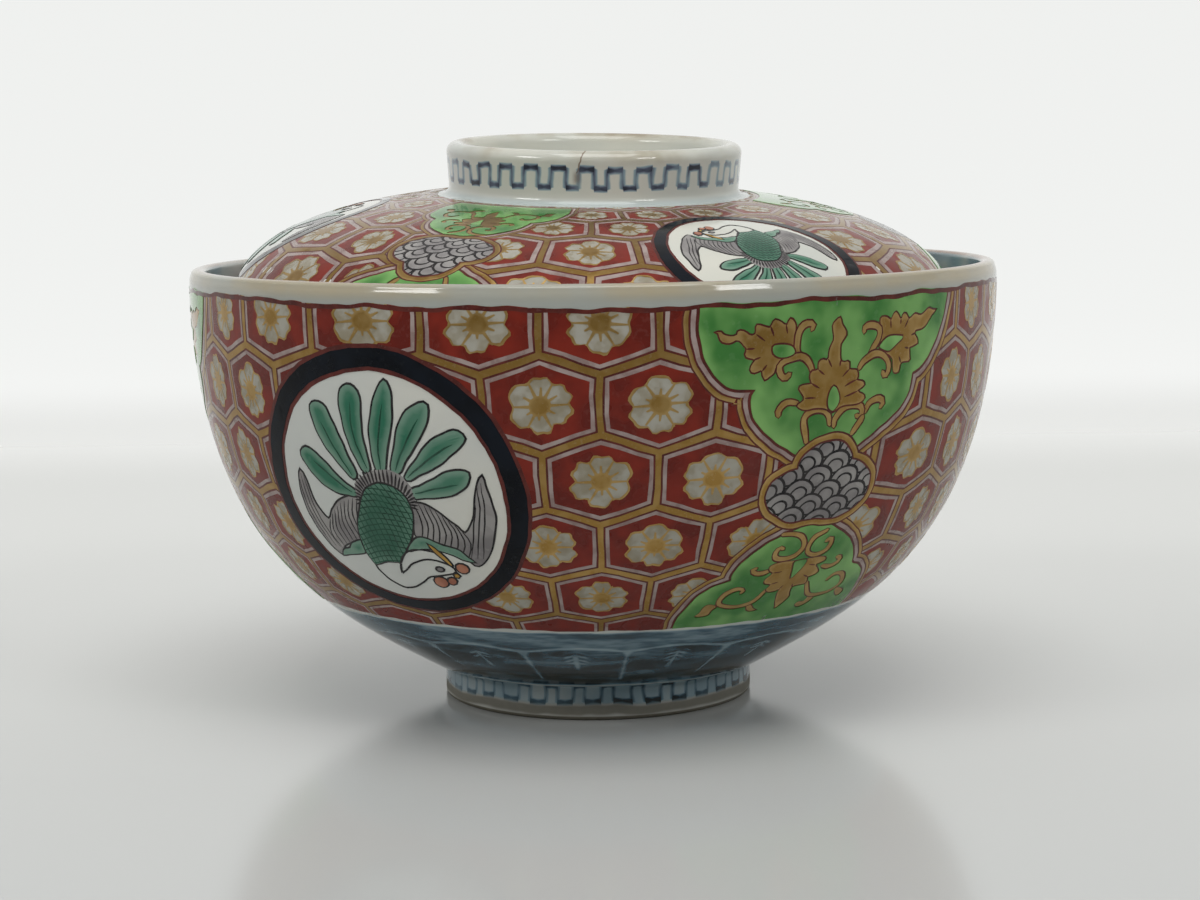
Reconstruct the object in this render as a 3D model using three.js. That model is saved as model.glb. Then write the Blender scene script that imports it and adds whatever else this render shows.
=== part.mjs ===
// A lidded porcelain bowl for rice or soup. The bowl is thrown, with a foot ring turned from the
// same clay. The lid is a second piece: a dome with a ring grip, which drops inside the bowl's
// mouth and rests on the inner wall, a little askew, as a loose lid does.
// Millimetres, +Z up. The origin is under the middle of the foot ring, on the surface that the
// bowl stands on, and the front is -Y.
import * as THREE from "three";
import { mergeVertices } from "three/addons/utils/BufferGeometryUtils.js";

// Bowl
const rimDiameter = 115;
const rimHeight = 63;
const rimWall = 2.3;
const baseWall = 5;
const wallStartOut = 1.95; // how far outside the foot ring the outer wall starts
const wallStartAngle = THREE.MathUtils.degToRad(30.4); // rise of the outer wall where it starts
const wallStartPull = 16.4; // how far the wall keeps that rise
const rimPull = 40.3; // how far below the rim the wall starts to leave the upright
const footDiameter = 44.5;
const footHeight = 5.2;
const footWall = 3;
const footEdge = 0.6; // rounding of the foot ring's two edges
const footFillet = 1.2; // fillet between foot ring and wall
const baseDrop = 1.8; // how far the base's underside hangs below the top of the foot ring
const floorThickness = 4.2;

// Lid
const seatDepth = 13.5; // middle of the lid's edge below the rim
const seatClearance = 0.35;
const lidTiltForward = THREE.MathUtils.degToRad(3.55); // front edge low
const lidTiltSide = THREE.MathUtils.degToRad(1.1); // right edge low
const lidRise = 22.7; // edge of the lid to the root of its ring
const lidWall = 2.7;
const lidEdgeAngle = THREE.MathUtils.degToRad(70); // lean of the dome at its edge
const lidEdgePull = 8.5;
const lidCrownAngle = THREE.MathUtils.degToRad(6.6); // fall of the dome beside the ring
const lidCrownPull = 34.5;
const ringRootDiameter = 41.4;
const ringTopDiameter = 42.1;
const ringHeight = 7.4;
const ringWall = 2.8;
const ringFillet = 1.2;
const wellRise = 1.3; // floor of the ring's well above the root of the ring

// Facets
const turnSegments = 64;
const wallSteps = 13;
const lipSteps = 6;
const filletSteps = 3;
const floorSteps = 5;

const point = (r, z) => new THREE.Vector2(r, z);

// Points of a cubic curve from a to d, with handles b and c.
function curvePoints(a, b, c, d, steps) {
  return new THREE.CubicBezierCurve(a, b, c, d).getPoints(steps);
}

// A quarter or half round about a centre, from one angle to another.
function arcPoints(centre, radius, from, to, steps) {
  const points = [];
  for (let i = 0; i <= steps; i++) {
    const angle = THREE.MathUtils.lerp(from, to, i / steps);
    points.push(point(centre.x + radius * Math.cos(angle), centre.y + radius * Math.sin(angle)));
  }
  return points;
}

// A half-round lip from a to b, on the left of the way from a to b when bulge is 1, else the right.
function lipPoints(a, b, bulge) {
  const centre = a.clone().add(b).multiplyScalar(0.5);
  const start = Math.atan2(a.y - centre.y, a.x - centre.x);
  return arcPoints(centre, a.distanceTo(centre), start, start - bulge * Math.PI, lipSteps);
}

// The other face of a wall: each point of a curve moved along the curve's left normal, by a
// thickness that goes evenly from the first value to the last.
function offsetPoints(curve, steps, firstWall, lastWall) {
  const points = [];
  for (let i = 0; i <= steps; i++) {
    const t = i / steps;
    const tangent = curve.getTangent(t);
    const wall = THREE.MathUtils.lerp(firstWall, lastWall, t);
    const at = curve.getPoint(t);
    points.push(point(at.x - tangent.y * wall, at.y + tangent.x * wall));
  }
  return points;
}

// Turns a profile about the axis into one closed surface, with +Z up. A profile runs from the axis
// to the axis with the clay on its left, so it goes up on the outside.
function turn(profile) {
  const lathe = new THREE.LatheGeometry(profile, turnSegments);
  lathe.deleteAttribute("normal");
  lathe.deleteAttribute("uv");
  lathe.rotateX(Math.PI / 2);
  const merged = mergeVertices(lathe, 1e-4);
  const old = merged.index.array;
  const kept = [];
  for (let i = 0; i < old.length; i += 3) {
    const [a, b, c] = [old[i], old[i + 1], old[i + 2]];
    if (a !== b && b !== c && c !== a) kept.push(a, b, c);
  }
  merged.setIndex(kept);
  merged.computeVertexNormals();
  return merged;
}

// Bowl profile
const rimRadius = rimDiameter / 2;
const footRadius = footDiameter / 2;
const footInner = footRadius - footWall;
const lipRadius = rimWall / 2;
const rimEnd = point(rimRadius, rimHeight - lipRadius);
const wallStart = point(footRadius + wallStartOut, footHeight);
const bowlWall = new THREE.CubicBezierCurve(
  wallStart,
  point(
    wallStart.x + wallStartPull * Math.cos(wallStartAngle),
    wallStart.y + wallStartPull * Math.sin(wallStartAngle),
  ),
  point(rimRadius, rimEnd.y - rimPull),
  rimEnd,
);
const undersideHeight = footHeight - baseDrop;
const floorHeight = undersideHeight + floorThickness;
const innerWall = offsetPoints(bowlWall, wallSteps, baseWall, rimWall).reverse();

function bowlProfile() {
  const innerStart = innerWall[innerWall.length - 1];
  const wallTangent = bowlWall.getTangent(0);
  const floorPull = innerStart.x / 3;
  return [
    point(0, undersideHeight),
    ...arcPoints(point(footInner - footFillet, undersideHeight - footFillet), footFillet,
      Math.PI / 2, 0, filletSteps),
    ...arcPoints(point(footInner + footEdge, footEdge), footEdge,
      Math.PI, 1.5 * Math.PI, filletSteps),
    ...arcPoints(point(footRadius - footEdge, footEdge), footEdge,
      -0.5 * Math.PI, 0, filletSteps),
    ...arcPoints(point(footRadius + footFillet, footHeight - footFillet), footFillet,
      Math.PI, 0.5 * Math.PI + wallStartAngle, filletSteps),
    ...bowlWall.getPoints(wallSteps),
    ...lipPoints(rimEnd, innerWall[0], -1).slice(1, -1),
    ...innerWall,
    ...curvePoints(
      innerStart,
      point(innerStart.x - wallTangent.x * floorPull, innerStart.y - wallTangent.y * floorPull),
      point(innerStart.x - 2 * floorPull, floorHeight),
      point(0, floorHeight),
      floorSteps,
    ).slice(1),
  ];
}

// Radius of the bowl's inside at a height.
function innerRadiusAt(height) {
  for (let i = 1; i < innerWall.length; i++) {
    const [above, below] = [innerWall[i - 1], innerWall[i]];
    if (height >= below.y) {
      return THREE.MathUtils.mapLinear(height, below.y, above.y, below.x, above.x);
    }
  }
  return innerWall[innerWall.length - 1].x;
}

// The lid's seat: the widest edge that clears the inner wall all the way round, and where its
// middle then lies. The lid leans, so it moves towards its high side, where the mouth is wider.
const seatHeight = rimHeight - seatDepth;
const lidLean = new THREE.Euler(lidTiltForward, lidTiltSide, 0, "YXZ");

function edgePoint(radius, middle, turned) {
  return new THREE.Vector3(radius * Math.sin(turned), -radius * Math.cos(turned), 0)
    .applyEuler(lidLean)
    .add(middle);
}

function solveSeat() {
  const middle = new THREE.Vector3(0, 0, seatHeight);
  let radius = innerRadiusAt(seatHeight) - seatClearance;
  const rounds = 12;
  for (let round = 0; round < rounds; round++) {
    const room = (turned) => {
      const edge = edgePoint(radius, middle, turned);
      return innerRadiusAt(edge.z) - Math.hypot(edge.x, edge.y);
    };
    middle.y += (room(Math.PI) - room(0)) / 2;
    middle.x += (room(Math.PI / 2) - room(-Math.PI / 2)) / 2;
    let least = Infinity;
    for (let i = 0; i < turnSegments; i++) {
      least = Math.min(least, room((2 * Math.PI * i) / turnSegments));
    }
    radius += least - seatClearance;
  }
  return { radius, middle };
}

const seat = solveSeat();

// Lid profile, with the middle of the lid's edge at height 0
function lidProfile() {
  const edge = point(seat.radius, 0);
  const rootRadius = ringRootDiameter / 2;
  const topRadius = ringTopDiameter / 2;
  const crown = point(rootRadius + ringFillet, lidRise);
  const dome = new THREE.CubicBezierCurve(
    edge,
    point(edge.x - lidEdgePull * Math.cos(lidEdgeAngle), lidEdgePull * Math.sin(lidEdgeAngle)),
    point(
      crown.x + lidCrownPull * Math.cos(lidCrownAngle),
      crown.y - lidCrownPull * Math.sin(lidCrownAngle),
    ),
    crown,
  );
  const inside = offsetPoints(dome, wallSteps, lidWall, lidWall);
  const insideCrown = inside[inside.length - 1];
  const insideRise = (insideCrown.x * Math.tan(lidCrownAngle)) / 2;
  const ringLip = ringWall / 2;
  const ringTop = lidRise + ringHeight;
  const wellFloor = lidRise + wellRise;
  const wellRadius = rootRadius - ringWall;
  const ceiling = new THREE.QuadraticBezierCurve(
    point(0, insideCrown.y + insideRise),
    point(insideCrown.x / 2, insideCrown.y + insideRise),
    insideCrown,
  );
  return [
    ...ceiling.getPoints(floorSteps),
    ...inside.slice(0, -1).reverse(),
    ...lipPoints(inside[0], edge, -1).slice(1, -1),
    ...dome.getPoints(wallSteps),
    ...arcPoints(point(rootRadius + ringFillet, lidRise + ringFillet), ringFillet,
      1.5 * Math.PI, Math.PI, filletSteps).slice(1),
    ...arcPoints(point(topRadius - ringLip, ringTop - ringLip), ringLip,
      0, Math.PI, lipSteps),
    ...arcPoints(point(wellRadius - ringFillet, wellFloor + ringFillet), ringFillet,
      0, -0.5 * Math.PI, filletSteps),
    point(0, wellFloor),
  ];
}

function glaze(colour) {
  return new THREE.MeshStandardMaterial({ color: colour, roughness: 0.16, metalness: 0 });
}

const bowl = new THREE.Mesh(turn(bowlProfile()), glaze(0xb98a76));
bowl.name = "bowl";

const lid = new THREE.Mesh(turn(lidProfile()), glaze(0xc09a88));
lid.name = "lid";

const seatedLid = new THREE.Group();
seatedLid.position.copy(seat.middle);
seatedLid.rotation.copy(lidLean);
seatedLid.add(lid);

const liddedBowl = new THREE.Group();
liddedBowl.add(bowl, seatedLid);

export default liddedBowl;
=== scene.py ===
"""Porcelain bowl with a loose lid, enamelled with hexagons, phoenix roundels and scroll panels."""

import logging
import math
from dataclasses import dataclass, field
from enum import Enum
from functools import reduce
from typing import Any, Iterable, Sequence

import bpy
import numpy as np
from mathutils import Euler, Matrix, Vector
from mathutils.geometry import delaunay_2d_cdt


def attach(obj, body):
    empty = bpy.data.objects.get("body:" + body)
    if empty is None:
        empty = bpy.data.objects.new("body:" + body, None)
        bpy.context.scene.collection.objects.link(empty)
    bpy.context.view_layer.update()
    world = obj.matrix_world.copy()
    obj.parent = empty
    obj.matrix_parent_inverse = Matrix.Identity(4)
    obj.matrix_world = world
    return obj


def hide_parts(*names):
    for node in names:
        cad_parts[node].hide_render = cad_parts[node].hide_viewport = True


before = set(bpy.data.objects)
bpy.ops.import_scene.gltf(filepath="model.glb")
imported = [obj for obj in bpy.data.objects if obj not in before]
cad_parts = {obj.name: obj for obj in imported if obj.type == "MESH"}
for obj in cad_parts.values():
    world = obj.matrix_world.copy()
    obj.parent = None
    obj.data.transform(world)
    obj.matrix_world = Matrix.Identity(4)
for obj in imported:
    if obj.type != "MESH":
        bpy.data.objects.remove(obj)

log = logging.getLogger("lidded_bowl")

MM = 0.001
MAP_SPAN = 100.0  # millimetres along a profile to one unit of its map
Point = tuple[float, float]
Path = Sequence[Point]
Triple = tuple[float, float, float]
Colour = tuple[int, int, int]
Socket = bpy.types.NodeSocket


def paint(red: int, green: int, blue: int) -> tuple[float, float, float, float]:
    """A colour as it is seen on a screen, 0 to 255 each, made linear for a shader, with alpha 1."""
    linear = [((c / 255 + 0.055) / 1.055) ** 2.4 if c > 10 else c / 3294.6 for c in (red, green, blue)]
    return (*linear, 1.0)


class Wiring:
    """Adds nodes to a node tree and joins them."""

    def __init__(self, tree: bpy.types.NodeTree) -> None:
        """Keeps the tree that the nodes go in."""
        self.tree = tree

    def feed(self, socket: Socket, value: Any) -> None:
        """Links a socket to another, or sets its value."""
        if isinstance(value, Socket):
            self.tree.links.new(value, socket)
        else:
            socket.default_value = value

    def node(self, kind: str, feeds: dict[Any, Any] | None = None, **settings: Any) -> bpy.types.Node:
        """Makes one node.

        Args:
            kind: The node's type name.
            feeds: What each input gets, by its name or number: a socket or a value.
            **settings: The node's own settings.

        Returns:
            The new node.
        """
        made = self.tree.nodes.new(kind)
        for name, value in settings.items():
            setattr(made, name, value)
        for key, value in (feeds or {}).items():
            self.feed(made.inputs[key], value)
        return made

    def out(self, kind: str, feeds: dict[Any, Any] | None = None, **settings: Any) -> Socket:
        """Makes one node, as node does, and gives its first output."""
        return self.node(kind, feeds, **settings).outputs[0]

    def math(self, operation: str, *values: Any, clamp: bool = False) -> Socket:
        """One sum of sockets or numbers, by its name, kept between 0 and 1 if clamp is set."""
        return self.out("ShaderNodeMath", dict(enumerate(values)), operation=operation, use_clamp=clamp)

    def times(self, first: Any, second: Any) -> Socket:
        """One number times another."""
        return self.math("MULTIPLY", first, second)

    def plus(self, first: Any, second: Any) -> Socket:
        """One number and another."""
        return self.math("ADD", first, second)

    def less(self, first: Any, second: Any) -> Socket:
        """One number less another."""
        return self.math("SUBTRACT", first, second)

    def slope(self, value: Any, rise: Any, start: Any) -> Socket:
        """A value times a rise, from a start."""
        return self.math("MULTIPLY_ADD", value, rise, start)

    def ramp(self, value: Any, low: float, high: float, start: float = 0.0, end: float = 1.0) -> Socket:
        """A smooth step of a value, from start at low to end at high."""
        feeds = {0: value, 1: low, 2: high, 3: start, 4: end}
        return self.out("ShaderNodeMapRange", feeds, interpolation_type="SMOOTHSTEP")

    def mix(self, factor: Any, first: Any, second: Any) -> Socket:
        """A colour between two others: 0 gives the first, 1 the second."""
        feeds = {0: factor, 6: first, 7: second}
        return self.node("ShaderNodeMix", feeds, data_type="RGBA").outputs[2]

    def noise(self, vector: Any, scale: float, detail: float = 2.0, rough: float = 0.5) -> Socket:
        """A soft random value over a surface: blotches to a unit, finer layers and their strength."""
        feeds = {"Vector": vector, "Scale": scale, "Detail": detail, "Roughness": rough}
        return self.out("ShaderNodeTexNoise", feeds)


# Turned forms


@dataclass(frozen=True)
class Bend:
    """A cubic curve in a profile: radius and height in millimetres."""

    start: Point
    pull_a: Point
    pull_b: Point
    end: Point

    def at(self, t: np.ndarray) -> np.ndarray:
        """Points along the curve, for values from 0 to 1."""
        t = np.asarray(t)[:, None]
        a, b, c, d = (np.array(p) for p in (self.start, self.pull_a, self.pull_b, self.end))
        return (1 - t) ** 3 * a + 3 * (1 - t) ** 2 * t * b + 3 * (1 - t) * t**2 * c + t**3 * d

    def left(self, t: np.ndarray) -> np.ndarray:
        """Unit normals on the left of the curve, for values from 0 to 1."""
        t = np.asarray(t)[:, None]
        a, b, c, d = (np.array(p) for p in (self.start, self.pull_a, self.pull_b, self.end))
        way = 3 * (1 - t) ** 2 * (b - a) + 6 * (1 - t) * t * (c - b) + 3 * t**2 * (d - c)
        way /= np.linalg.norm(way, axis=1)[:, None]
        return np.stack([-way[:, 1], way[:, 0]], 1)


def arc(centre: Point, radius: float, start: float, end: float, steps: int) -> np.ndarray:
    """Part of a circle between two angles in degrees, as points with so many straight pieces."""
    angle = np.radians(np.linspace(start, end, steps + 1))
    return np.stack([centre[0] + radius * np.cos(angle), centre[1] + radius * np.sin(angle)], 1)


def circle(centre: Point, radius: float, count: int) -> np.ndarray:
    """The corners of a closed outline that is round, evenly spaced."""
    return arc(centre, radius, 0, 360 - 360 / count, count - 1)


def distances(line: np.ndarray) -> np.ndarray:
    """How far along a line each of its points is."""
    return np.concatenate([[0], np.cumsum(np.hypot(*np.diff(line, axis=0).T))])


def half_round(a: np.ndarray, b: np.ndarray, steps: int, swell: float = 1.0) -> np.ndarray:
    """A lip from one point to another, on the right of the way between them.

    Args:
        a: First point.
        b: Last point.
        steps: How many straight pieces the lip has.
        swell: How far it stands out, over half its width.

    Returns:
        The points between the two.
    """
    half = (a - b) / 2
    turn = np.linspace(0, np.pi, steps + 1)[1:-1, None]
    return (a + b) / 2 + half * np.cos(turn) + np.array([-half[1], half[0]]) * np.sin(turn) * swell


@dataclass
class TurnedForm:
    """A piece turned about its own axis, with a painted wall and a place in the frame."""

    name: str
    body: str
    slot: str
    seat: Triple = (0.0, 0.0, 0.0)
    lean: Triple = (0.0, 0.0, 0.0)
    segments: int = 256
    rail_step: float = 0.25
    track_steps: int = 8000

    def wall(self) -> Bend:
        """The curve of the painted wall, going up."""
        raise NotImplementedError

    def profile(self) -> tuple[np.ndarray, int]:
        """The closed profile from axis to axis, and the number of the point that stations start at."""
        raise NotImplementedError

    def place(self) -> Matrix:
        """The matrix that puts the piece in its place, in metres."""
        return Matrix.Translation(Vector(self.seat) * MM) @ Euler(self.lean, "XYZ").to_matrix().to_4x4()

    def track(self) -> tuple[np.ndarray, np.ndarray, np.ndarray]:
        """The painted wall from its top end, evenly spaced in degrees of its flat drawing.

        The drawing keeps shapes: a step down the wall counts as many degrees as the same length
        counts round it.

        Returns:
            Points in millimetres, outward normals, and the distance of each point from the top end.
        """
        t = np.linspace(1, 0, self.track_steps + 1)
        points = self.wall().at(t)
        length = np.hypot(*np.diff(points, axis=0).T)
        radius = (points[1:, 0] + points[:-1, 0]) / 2
        degrees = np.concatenate([[0], np.cumsum(np.degrees(length / radius))])
        along = np.concatenate([[0], np.cumsum(length)])
        even = np.arange(0, degrees[-1] + self.rail_step, self.rail_step)
        t_even = np.interp(even, degrees, t)
        return self.wall().at(t_even), -self.wall().left(t_even), np.interp(even, degrees, along)

    def depth(self, degrees: float) -> float:
        """How far down the wall a place in the flat drawing is, in millimetres."""
        along = self.track()[2]
        return float(np.interp(degrees / self.rail_step, np.arange(len(along)), along))

    def rail(self) -> bpy.types.Object:
        """The painted wall as a row of points with their normals, for the enamel tree to read."""
        points, out, _ = self.track()
        mesh = bpy.data.meshes.new(f"{self.name}_rail")
        mesh.from_pydata([(r * MM, 0, z * MM) for r, z in points], [], [])
        normals = mesh.attributes.new("out", "FLOAT_VECTOR", "POINT")
        normals.data.foreach_set("vector", np.stack([out[:, 0], 0 * out[:, 0], out[:, 1]], 1).ravel())
        return bpy.data.objects.new(f"{self.name}_rail", mesh)

    def shell(self, material: bpy.types.Material) -> bpy.types.Object:
        """The glazed body, closed, with a map of turns and stations along the profile.

        Args:
            material: The glaze.

        Returns:
            The object, at the origin with its place in its mesh.
        """
        profile, datum = self.profile()
        count, rings = self.segments, len(profile) - 2
        angle = np.radians(np.arange(count) * 360 / count - 180)
        r, z = profile[1:-1, 0], profile[1:-1, 1]
        grid = np.stack(
            [np.outer(r, np.sin(angle)), -np.outer(r, np.cos(angle)), np.repeat(z[:, None], count, 1)], -1
        ).reshape(-1, 3)
        verts = np.vstack([grid, [0, 0, profile[0, 1]], [0, 0, profile[-1, 1]]]) * MM
        first, last = len(grid), len(grid) + 1
        faces, turns, rows = [], [], []
        for k in range(count):
            n = (k + 1) % count
            faces.append((first, n, k))
            turns.append((k + 0.5, k + 1, k))
            rows.append((0, 1, 1))
            for i in range(rings - 1):
                faces.append((i * count + k, i * count + n, (i + 1) * count + n, (i + 1) * count + k))
                turns.append((k, k + 1, k + 1, k))
                rows.append((i + 1, i + 1, i + 2, i + 2))
            base = (rings - 1) * count
            faces.append((base + k, base + n, last))
            turns.append((k, k + 1, k + 0.5))
            rows.append((rings, rings, rings + 1))
        mesh = bpy.data.meshes.new(f"{self.name}_glaze")
        mesh.from_pydata(verts.tolist(), [], faces)
        station = distances(profile)
        station -= station[datum]
        uv = mesh.uv_layers.new(name="turn")
        flat_u = np.concatenate([np.array(t) / count for t in turns])
        flat_v = np.concatenate([station[list(row)] / MAP_SPAN for row in rows])
        uv.data.foreach_set("uv", np.stack([flat_u, flat_v], 1).ravel())
        mesh.polygons.foreach_set("use_smooth", [True] * len(faces))
        mesh.transform(self.place())
        mesh.materials.append(material)
        mesh.update()
        return bpy.data.objects.new(f"{self.name}_glaze", mesh)


@dataclass
class Bowl(TurnedForm):
    """The bowl, on a foot ring turned from the same clay. Millimetres."""

    name: str = "bowl"
    body: str = "bowl_body"
    slot: str = "bowl_porcelain"
    rim_radius: float = 57.5
    rim_height: float = 63.0
    rim_wall: float = 2.3
    lip_swell: float = 0.6
    shoulder: tuple[float, float] = (0.3, 1.3)
    base_wall: float = 5.0
    wall_start: Point = (24.2, 5.2)
    start_rise: float = 30.4
    start_pull: float = 16.4
    rim_pull: float = 40.3
    foot_radius: float = 22.25
    foot_wall: float = 3.0
    foot_edge: float = 0.6
    foot_fillet: float = 1.2
    underside: float = 3.4
    floor: float = 7.6

    def wall(self) -> Bend:
        """The outer wall, from the foot to the rim."""
        rise = math.radians(self.start_rise)
        top = self.rim_height - self.rim_wall / 2
        x, z = self.wall_start
        pull = (x + self.start_pull * math.cos(rise), z + self.start_pull * math.sin(rise))
        return Bend(self.wall_start, pull, (self.rim_radius, top - self.rim_pull), (self.rim_radius, top))

    def foot_depth(self, height: float) -> float:
        """How far below the rim, along the outside, a height on the foot's outer side is."""
        profile, datum = self.profile()
        station = distances(profile)
        side = (profile[:, 0] > self.foot_radius - 0.01) & (profile[:, 1] < self.wall_start[1] + 0.01)
        return float(station[datum] - np.interp(height, profile[side, 1], station[side]))

    def profile(self) -> tuple[np.ndarray, int]:
        """From the middle of the underside, out over the foot, up the wall and down the inside."""
        t = np.concatenate([np.linspace(0, 0.97, 68), np.linspace(0.975, 1, 9)])
        outer = self.wall().at(t)
        thick = self.base_wall + (self.rim_wall - self.base_wall) * t
        inner = (outer + self.wall().left(t) * thick[:, None])[::-1]
        ease, reach = self.shoulder
        outer[:, 0] -= ease * np.clip(1 + (outer[:, 1] - outer[-1, 1]) / reach, 0, 1) ** 2
        inner_foot = self.foot_radius - self.foot_wall
        foot_top = self.wall_start[1]
        start, way = inner[-1], inner[-1] - inner[-2]
        third = start[0] / 3
        pull = start + way * third / np.linalg.norm(way)
        floor = Bend(tuple(start), tuple(pull), (third, self.floor), (0.0, self.floor))
        under = np.linspace(0, inner_foot - self.foot_fillet, 8)[:-1]
        edge, fillet = self.foot_edge, self.foot_fillet
        parts = [
            np.stack([under, 0 * under + self.underside], 1),
            arc((inner_foot - fillet, self.underside - fillet), fillet, 90, 0, 5),
            arc((inner_foot + edge, edge), edge, 180, 270, 5),
            arc((self.foot_radius - edge, edge), edge, -90, 0, 5),
            np.stack([np.full(5, self.foot_radius), np.linspace(1.2, foot_top - fillet - 0.3, 5)], 1),
            arc((self.foot_radius + fillet, foot_top - fillet), fillet, 180, 90 + self.start_rise, 5),
            outer,
            half_round(outer[-1], inner[0], 14, self.lip_swell),
            inner,
            floor.at(np.linspace(0, 1, 20))[1:],
        ]
        datum = sum(len(p) for p in parts[:7]) - 1
        return np.vstack(parts), datum


@dataclass
class Lid(TurnedForm):
    """The lid, a dome with a ring grip, lying askew in the mouth of the bowl. Millimetres."""

    name: str = "lid"
    body: str = "lid_body"
    slot: str = "lid_porcelain"
    seat: Triple = (-0.156, 0.502, 49.5)
    lean: Triple = (math.radians(3.55), math.radians(1.1), 0.0)
    edge_radius: float = 53.744
    rise: float = 22.7
    thick: float = 2.7
    edge_angle: float = 70.0
    edge_pull: float = 8.5
    crown_angle: float = 6.6
    crown_pull: float = 34.5
    ring_root: float = 20.7
    ring_top: float = 21.05
    ring_height: float = 7.4
    ring_wall: float = 2.8
    ring_fillet: float = 1.2
    well_rise: float = 1.3

    def wall(self) -> Bend:
        """The dome, from its edge to the root of the ring."""
        low, high = math.radians(self.edge_angle), math.radians(self.crown_angle)
        crown = (self.ring_root + self.ring_fillet, self.rise)
        return Bend(
            (self.edge_radius, 0.0),
            (self.edge_radius - self.edge_pull * math.cos(low), self.edge_pull * math.sin(low)),
            (crown[0] + self.crown_pull * math.cos(high), crown[1] - self.crown_pull * math.sin(high)),
            crown,
        )

    def profile(self) -> tuple[np.ndarray, int]:
        """From the middle of the ceiling, down the inside, up the dome and over the ring."""
        t = np.linspace(0, 1, 70)
        outer = self.wall().at(t)
        inner = outer + self.wall().left(t) * self.thick
        top = inner[-1]
        lift = top[0] * math.tan(math.radians(self.crown_angle)) / 2
        s = np.linspace(0, 1, 14)[:-1, None]
        peak, knee = np.array([0, top[1] + lift]), np.array([top[0] / 2, top[1] + lift])
        ceiling = (1 - s) ** 2 * peak + 2 * (1 - s) * s * knee + s**2 * top
        lip, fillet = self.ring_wall / 2, self.ring_fillet
        ring_z, well_z = self.rise + self.ring_height, self.rise + self.well_rise
        well = self.ring_root - self.ring_wall
        side, flare = np.linspace(0.12, 0.92, 6), self.ring_top - self.ring_root
        root_z, lip_z = self.rise + fillet, ring_z - lip
        floor = np.linspace(well - fillet, 0, 8)[1:]
        parts = [
            ceiling,
            inner[::-1],
            half_round(inner[0], outer[0], 14),
            outer,
            arc((self.ring_root + fillet, root_z), fillet, 270, 180, 7)[1:],
            np.stack([self.ring_root + flare * side, root_z + (lip_z - root_z) * side], 1),
            arc((self.ring_top - lip, lip_z), lip, 0, 180, 14),
            arc((well - fillet, well_z + fillet), fillet, 0, -90, 6),
            np.stack([floor, 0 * floor + well_z], 1),
        ]
        datum = sum(len(p) for p in parts[:4]) - 1
        return np.vstack(parts), datum


# Flat drawing of the enamels


class Enamel(Enum):
    """The colours that are painted over the glaze. RESERVE is bare glaze."""

    RESERVE = "reserve"
    RED = "red"
    LINE = "line"
    BLUSH = "blush"
    CREAM = "cream"
    GOLD = "gold"
    GREEN = "green"
    NAVY = "navy"
    BLACK = "black"
    TEAL = "teal"
    FIR = "fir"
    SCALE = "scale"
    GREY = "grey"
    YELLOW = "yellow"
    CORAL = "coral"


def smooth(points: Path, closed: bool = False, step: float = 0.45) -> np.ndarray:
    """An even, rounded line through points.

    Args:
        points: The points that it goes through.
        closed: Whether it comes back to the first.
        step: The spacing of the new points.

    Returns:
        The new points.
    """
    p = np.array(points, float)
    p = np.vstack([p[-1], p, p[0], p[1]]) if closed else np.vstack([2 * p[0] - p[1], p, 2 * p[-1] - p[-2]])
    t = np.linspace(0, 1, 16, endpoint=False)[:, None]
    runs = []
    for a, b, c, d in zip(p[:-3], p[1:-2], p[2:-1], p[3:]):
        bend, twist = 2 * a - 5 * b + 4 * c - d, 3 * b - a - 3 * c + d
        runs.append(0.5 * (2 * b + (c - a) * t + bend * t**2 + twist * t**3))
    line = np.vstack(runs + [p[-2:-1]])
    along = distances(line)
    count = max(3, int(round(along[-1] / step)))
    even = np.linspace(0, along[-1], count + 1)
    even = even[:-1] if closed else even
    return np.stack([np.interp(even, along, line[:, k]) for k in (0, 1)], 1)


def straight(points: Path, step: float = 2.5) -> np.ndarray:
    """A closed outline with straight sides, cut into even pieces.

    Args:
        points: Its corners.
        step: The longest piece.

    Returns:
        The outline.
    """
    p = np.array(points, float)
    runs = []
    for a, b in zip(p, np.roll(p, -1, 0)):
        count = max(1, int(math.ceil(np.hypot(*(b - a)) / step)))
        runs.append(a + (b - a) * np.linspace(0, 1, count, endpoint=False)[:, None])
    return np.vstack(runs)


def grow(outline: np.ndarray, by: float) -> np.ndarray:
    """A closed outline moved outwards.

    Args:
        outline: The outline.
        by: How far each point moves; below 0 it moves inwards.

    Returns:
        The new outline.
    """
    ahead = np.roll(outline, -1, 0) - outline
    ahead /= np.maximum(np.linalg.norm(ahead, axis=1), 1e-9)[:, None]
    behind = np.roll(ahead, 1, 0)
    area = np.sum(outline[:, 0] * np.roll(outline[:, 1], -1) - np.roll(outline[:, 0], -1) * outline[:, 1])
    side = 1.0 if area > 0 else -1.0
    normal = np.stack([ahead[:, 1] + behind[:, 1], -(ahead[:, 0] + behind[:, 0])], 1) * side
    square = np.maximum(np.sum(normal**2, 1), 0.8)[:, None]
    return outline + normal * 2 * by / square


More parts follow.
